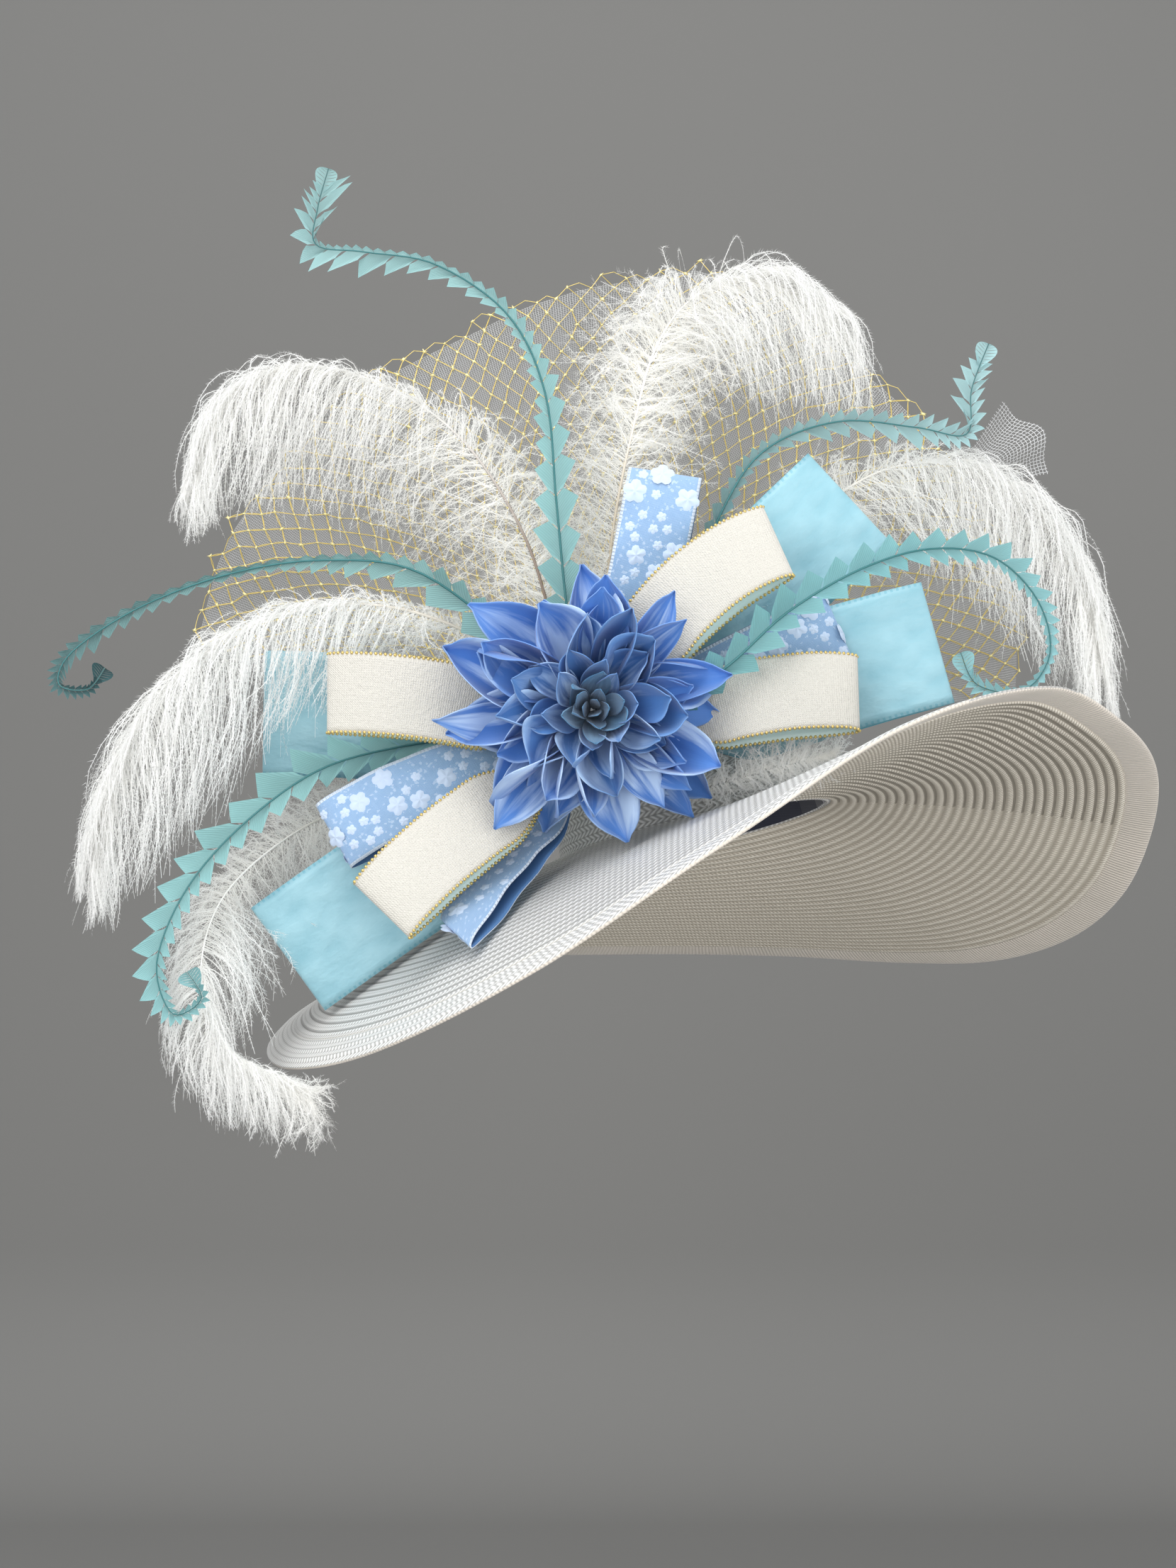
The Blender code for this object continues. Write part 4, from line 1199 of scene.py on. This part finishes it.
VANE_DYES = {
    # colour by the root, colour by the tip
    "quill_top": ((0.22, 0.47, 0.48), (0.38, 0.62, 0.62)),
    "quill_upper_right": ((0.01, 0.07, 0.08), (0.48, 0.75, 0.77)),
    "quill_right": ((0.13, 0.34, 0.34), (0.36, 0.68, 0.72)),
    "quill_left": ((0.34, 0.60, 0.58), (0.01, 0.07, 0.08)),
    "quill_lower_left": ((0.30, 0.57, 0.55), (0.26, 0.52, 0.54)),
}
dark_horn = finish("dark_teal_horn", (0.03, 0.155, 0.16), 0.4)[0]
for name, rows in QUILLS.items():
    random.seed(name)
    long = route_length(rows)
    bm = bmesh.new()
    layer = bm.loops.layers.uv.new("cloth")
    for side, column in ((1, 3), (-1, 4)):
        near = 0.012
        while near < LEAF_FROM:
            reach = max(between(rows, column, near + 0.02), 2.5) * MM
            foot = max(TOOTH_FOOT * reach * random.uniform(0.9, 1.1), SHORTEST_FOOT)
            far = min(near + foot / long, LEAF_FROM + 0.01)
            bend = (route_frame(rows, far)[1] - route_frame(rows, near)[1]).length
            size = 1.25 * reach * max(1 - 0.35 * bend, 0.6) * random.uniform(0.9, 1.1)
            tooth = [size * share for share in TOOTH_SHAPE]
            cut_vane(bm, layer, rows, side, near, far, tooth, TOOTH_SWEEP, random.uniform(-0.2, 0.6))
            near = far
    leaf_stops = [step / LEAF_STEPS for step in range(LEAF_STEPS + 1)]
    for side in (1, -1):
        for ends in zip(leaf_stops, leaf_stops[1:]):
            near, far = [LEAF_FROM + (1 - LEAF_FROM) * share for share in ends]
            widths = [LEAF_HALF * math.sin(math.pi * (0.04 + 0.95 * share)) for share in ends]
            cut_vane(bm, layer, rows, side, near, far, widths, LEAF_SWEEP, 0.2)
    add_piece(f"{name}_vanes", bm, [vane_finish(f"{name}_dye", *VANE_DYES[name])], [name])
    add_piece(f"{name}_shaft", shaft(rows, 1.0, *SHAFT_RADII), [dark_horn])

# The veil is a fan of gold thread knotted to diamonds over fine white tulle. It is gathered
# behind the flower and stands up behind the feathers in soft folds, with a scalloped edge.
NET_ROOT_Y = -84 * MM
NET_BACK = 106 * MM
NET_BACK_FROM, NET_BACK_OVER = 24 * MM, 163 * MM
NET_FROM, NET_TO = math.radians(8), math.radians(166)
NET_FOLDS = 14
FOLD_DEEP = 9 * MM
FAN_RADIUS = 235 * MM
NET_INNER = 36 * MM
CROWN_SIDE = math.radians(36)
CROWN_CLEAR = 175 * MM
DIAMOND_ACROSS = 5.8 * MM       # half a diamond's width where the fan is not gathered
DIAMOND_LONG = 9.4 * MM         # half its length
THREAD_RADIUS = 0.31 * MM
THREAD_APART = 0.8 * MM
SCALLOP_RISE = 3.4 * MM
KNOT_SIZE = 5.4 * MM
KNOT_SPECKS = 2
TULLE_HIGH = 300                # millimetres of tulle from the root to the top of the fan
TAIL_ROOT = (0.186, 0.016, 0.252)
TAIL_LONG = 78 * MM
TAIL_FROM, TAIL_TO = math.radians(10), math.radians(58)
NET_OUTLINE = [
    # azimuth_deg, radius_mm of the net's edge
    (8, 322),
    (25, 338),
    (45, 346),
    (62, 360),
    (79, 376),
    (88, 360),
    (96, 347),
    (106, 338),
    (117, 331),
    (135, 327),
    (154, 328),
    (166, 322),
]


def net_radius(azimuth):
    degrees = math.degrees(azimuth)
    return np.interp(degrees, [row[0] for row in NET_OUTLINE], [row[1] for row in NET_OUTLINE]) * MM


def net_point(azimuth, radius, behind=0.0):
    """A point of the veil's folded surface."""
    fold = FOLD_DEEP * math.sin(azimuth * NET_FOLDS) * radius / (350 * MM)
    back = NET_ROOT_Y + NET_BACK * smooth_share((radius - NET_BACK_FROM) / NET_BACK_OVER)
    return Vector((
        PAD_X + radius * math.cos(azimuth),
        back + fold + behind,
        PAD_Z + radius * math.sin(azimuth),
    ))


def in_veil(azimuth, radius, margin=0.0):
    clear_of_crown = radius > CROWN_CLEAR or azimuth > CROWN_SIDE
    return NET_FROM < azimuth < NET_TO and radius < net_radius(azimuth) - margin and clear_of_crown


def thread_between(here, there, sag):
    """The poses of a thread's two straight halves, from one knot to the next."""
    middle = (here + there) / 2 + sag
    poses = []
    for start, end in ((here, middle), (middle, there)):
        along = end - start
        turned = along.to_track_quat("Z", "Y").to_matrix().to_4x4()
        poses.append(Matrix.Translation(start) @ turned @ Matrix.Diagonal((1, 1, along.length, 1)))
    return poses


random.seed(23)
knots, threads, tinsel = {}, [], []
columns = round((NET_TO - NET_FROM) * FAN_RADIUS / DIAMOND_ACROSS)
for column in range(columns + 1):
    for row in range(40):
        azimuth = NET_FROM + column * DIAMOND_ACROSS / FAN_RADIUS + random.gauss(0, 0.003)
        radius = NET_INNER + row * DIAMOND_LONG + random.gauss(0, 0.7) * MM
        if (column + row) % 2 == 0 and in_veil(azimuth, radius):
            knots[column, row] = net_point(azimuth, radius)
for (column, row), here in knots.items():
    for side in (1, -1):
        there = knots.get((column + side, row + 1))
        if there:
            apart = Vector((side, 0, -1)).normalized() * THREAD_APART
            for way in (1, -1):
                threads += thread_between(here, there, apart * way * random.uniform(0.1, 0.9))
    beyond = knots.get((column + 2, row))
    if beyond and (column, row + 2) not in knots and (column + 1, row + 1) not in knots:
        threads += thread_between(here, beyond, Vector((0, 0, SCALLOP_RISE)))
    for number in range(KNOT_SPECKS):
        axis = Vector([random.gauss(0, 1) for part in range(3)])
        turned = Matrix.Rotation(random.uniform(0, 6.3), 4, axis.normalized())
        flat = Matrix.Diagonal((1, 0.42, 0.3, 1))
        size = Matrix.Scale(KNOT_SIZE * random.uniform(0.6, 1.1), 4)
        tinsel.append(Matrix.Translation(here) @ turned @ flat @ size)
thread = bmesh.new()
bmesh.ops.create_cone(
    thread,
    segments=3,
    radius1=THREAD_RADIUS,
    radius2=THREAD_RADIUS,
    depth=1,
    matrix=Matrix.Translation((0, 0, 0.5)),
)
speck = bmesh.new()
bmesh.ops.create_uvsphere(speck, u_segments=4, v_segments=2, radius=0.55)
gold_thread = finish("gold_thread", (0.80, 0.62, 0.19), 0.35, Metallic=0.2)[0]
# The knots' bright pale gold is partly the tinsel's own colour and partly a painted glint.
gold_tinsel_with_painted_glint = finish("gold_tinsel_with_painted_glint", (1.0, 0.88, 0.42), 0.2, Metallic=0.2)[0]
add_piece("gold_net", repeated(thread, threads), [gold_thread], ["veil_net"])
add_piece("gold_knots", repeated(speck, tinsel), [gold_tinsel_with_painted_glint])

tulle, shader = finish("white_tulle", (0.90, 0.91, 0.92), 0.8)
holes = textured(cloth_axes(shader)[2], "ShaderNodeTexVoronoi", Scale=0.75, Randomness=0.25)
holes.feature = "DISTANCE_TO_EDGE"
strand = Varying(holes.outputs["Distance"]).math("LESS_THAN", 0.085)
shader.id_data.links.new((strand * 0.5).socket, shader.inputs["Alpha"])


def tulle_place(u, v):
    azimuth = NET_FROM + (NET_TO - NET_FROM) * u
    inner = CROWN_CLEAR if azimuth < CROWN_SIDE else NET_INNER
    radius = inner + (net_radius(azimuth) - 9 * MM - inner) * v
    return net_point(azimuth, radius, 2.2 * MM)


def tulle_chart(u, v):
    return (NET_TO - NET_FROM) * FAN_RADIUS * u / MM, TULLE_HIGH * v


def tail_place(u, v):
    """The free corner of the tulle, spread out beyond the right feather."""
    angle = TAIL_FROM + (TAIL_TO - TAIL_FROM) * u
    fold = math.sin(9 * u + 1) * 5 * MM * v
    reach = TAIL_LONG * v * (1 - 0.08 * math.sin(math.pi * u) ** 2 * math.cos(7 * u))
    return Vector(TAIL_ROOT) + Vector((math.cos(angle) * reach, fold - 8 * MM * v, math.sin(angle) * reach))


def gather_into(whole, part):
    """Adds a part's faces to a bmesh of several parts."""
    shape = bpy.data.meshes.new("part")
    part.to_mesh(shape)
    part.free()
    whole.from_mesh(shape)
    bpy.data.meshes.remove(shape)


fan = unrolled(220, 24, tulle_place, tulle_chart)
corner = unrolled(30, 16, tail_place, lambda u, v: (34 * u, 40 * v))
gather_into(fan, corner)
veil = add_piece("white_tulle", fan, [tulle])

# The flower is a big dahlia of cloth petals, stamped in whorls and cupped, dye running from a deep blue root
# to a paler tip, with raised veins and pale strokes of painted highlight; a few small curled petals fill its
# heart.
FLOWER_X = -76 * MM
FLOWER_Z = 84 * MM
PAD_FRONT = -160 * MM
PETAL_SHAPE = [
    # equal steps from root to tip: share of the half width, share of the cup
    (0.32, 0.10),
    (0.60, 0.35),
    (0.84, 0.65),
    (1.00, 0.90),
    (1.06, 1.00),
    (0.94, 0.90),
    (0.64, 0.60),
    (0.04, 0.20),
]
PETALS = [
    # solid, petals, stem_radius_mm, before the pad_mm, tip_radius_mm, tip_forward_mm, cup_mm,
    # half_width_mm, turn_deg, look
    ("petals_1", 11, 12, 0.9, 102, 6, 17, 22, 18, 0),
    ("petals_2", 11, 11, 2.5, 93, 18, 18, 21, 0, 0),
    ("petals_3", 10, 10, 4.1, 80, 28, 17, 19, 5, 0),
    ("petals_4", 9, 9, 5.7, 65, 35, 15, 18, 26, 1),
    ("petals_5", 8, 8, 7.3, 48, 41, 12, 15.5, 8, 1),
    ("petals_6", 7, 7, 8.9, 33, 44, 9, 12.5, 30, 1),
    ("dahlia_centre", 6, 4, 10.5, 23, 44, 6, 10, 10, 2),
    ("dahlia_centre", 5, 2.5, 12, 14, 42, 5, 8, 40, 2),
    ("dahlia_centre", 3, 1, 13, 6, 40, 3, 5, 5, 2),
]
PETAL_LOOKS = [
    # root colour, tip colour, painted highlight colour, share of painted highlight: from the outer whorls to
    # the heart
    ("outer_petal", (0.030, 0.115, 0.42), (0.095, 0.26, 0.66), (0.54, 0.71, 0.95), 1.0),
    ("inner_petal", (0.025, 0.110, 0.35), (0.085, 0.24, 0.56), (0.42, 0.60, 0.86), 0.9),
    ("heart_petal", (0.016, 0.075, 0.18), (0.070, 0.21, 0.38), (0.17, 0.37, 0.56), 0.6),
]


def petal_finish(name, root, tip, painted_highlight, share):
    """Dyed cloth: dark at the root, with broad pale strokes of painted highlight that differ from petal to
    petal.
    """
    made, shader = finish(name, tip, 0.55, Sheen_Weight=0.3, Specular_IOR_Level=0.4)
    across, along, place = cloth_axes(shader)
    drawn_out = stretched(place, 2.4, 0.6)
    veins = noise(drawn_out, 4.0, 3.0)
    within = along.math("FRACT")
    off_crease = (across.math("FRACT") * 2.0 - 1.0).math("ABSOLUTE")
    own = ((along.math("FLOOR") * 12.9).math("SINE") * 43.7).math("FRACT")
    highlight_stroke = noise(drawn_out, 1.0, 1.0) + veins * 0.6 - (0.85 - own * 0.2)
    # Painted highlights: pale strokes mixed in toward the highlight colour.
    bright = highlight_stroke.math("MAXIMUM", 0.0) * (6.0 * share) * within.wave(2)
    rim = off_crease**8.0 * 0.2
    ground = (within**0.8).blend(root, tip)
    paint(shader, (bright + rim).math("MINIMUM", 1.0).blend(ground, painted_highlight))
    raise_by(shader, veins, 0.5 * MM, 0.5)
    let_light_through(shader, 0.15, tip)
    return made


def petal_surface(stem, tip_radius, tip_forward, cup, half_wide, angle):
    """One petal: u runs across it, v from the stem to its tip. No two are bent alike."""
    middle = Vector((math.cos(angle), 0, math.sin(angle)))
    side = Vector((-middle.z, 0, middle.x))
    twist = random.uniform(-1.05, 1.05)
    swing = random.uniform(-0.26, 0.26)
    curl = random.uniform(-0.28, 0.24)
    folded = random.uniform(0.3, 2.0)
    skew = random.uniform(-0.6, 0.6)
    phase = random.uniform(0, 6.3)
    waves = random.uniform(4, 9)
    tip_forward += random.uniform(-0.06, 0.12) * tip_radius
    step_forward = random.uniform(0, 2.4) * MM

    def place(u, v):
        across = 2 * u - 1
        radius = (stem + (tip_radius - stem) * v) * MM
        half = half_wide * between(PETAL_SHAPE, 0, v) * MM
        raised = cup * folded * between(PETAL_SHAPE, 1, v) * MM
        ripple = 0.30 * half * math.sin(waves * v + phase + 2 * across) * across**2
        crease = 0.05 * half * math.exp(-((across / 0.14) ** 2)) * math.sin(math.pi * v)
        lift = raised * (abs(across) ** 1.8 * (1 + skew * across) - 0.15) + ripple - crease
        turned = twist * v
        sideways = across * half * (1 - 0.18 * across**2)
        flat = sideways * math.cos(turned) - lift * math.sin(turned) * 0.6
        front = lift * math.cos(turned) + sideways * math.sin(turned)
        front += tip_forward * MM * v**1.3 + step_forward * min(4 * v, 1)
        front += curl * tip_radius * MM * smooth_share((v - 0.55) / 0.45)
        bent = swing * tip_radius * MM * v**2
        return middle * radius + side * (flat + bent) + VIEWER * front

    return place


random.seed(31)
looks = [petal_finish(*row) for row in PETAL_LOOKS]
whorls = {}
for solid, count, stem, back, tip_radius, tip_forward, cup, half_wide, turn, look in PETALS:
    centre = Vector((FLOWER_X, PAD_FRONT - back * MM, FLOWER_Z))
    whorl = whorls.setdefault(solid, (bmesh.new(), look))[0]
    for petal in range(count):
        angle = 2 * math.pi * (petal + 0.5) / count - math.radians(turn + random.uniform(-12, 12))
        surface = petal_surface(
            stem,
            tip_radius * random.uniform(0.78, 1.03),
            tip_forward,
            cup,
            half_wide * random.uniform(0.78, 1.12),
            angle,
        )
        blade = unrolled(
            16,
            18,
            lambda u, v: centre + surface(u, v),
            lambda u, v: (u * 0.98 + 0.01 + petal, 0.01 + v * 0.98 + petal),
        )
        bmesh.ops.recalc_face_normals(blade, faces=blade.faces)
        gather_into(whorl, blade)
for solid, (whorl, look) in whorls.items():
    piece = add_piece(f"{solid}_of_cloth", whorl, [looks[look]], [solid])
    wall = piece.modifiers.new("thickness", "SOLIDIFY")
    wall.thickness = 0.6 * MM
    wall.offset = 0
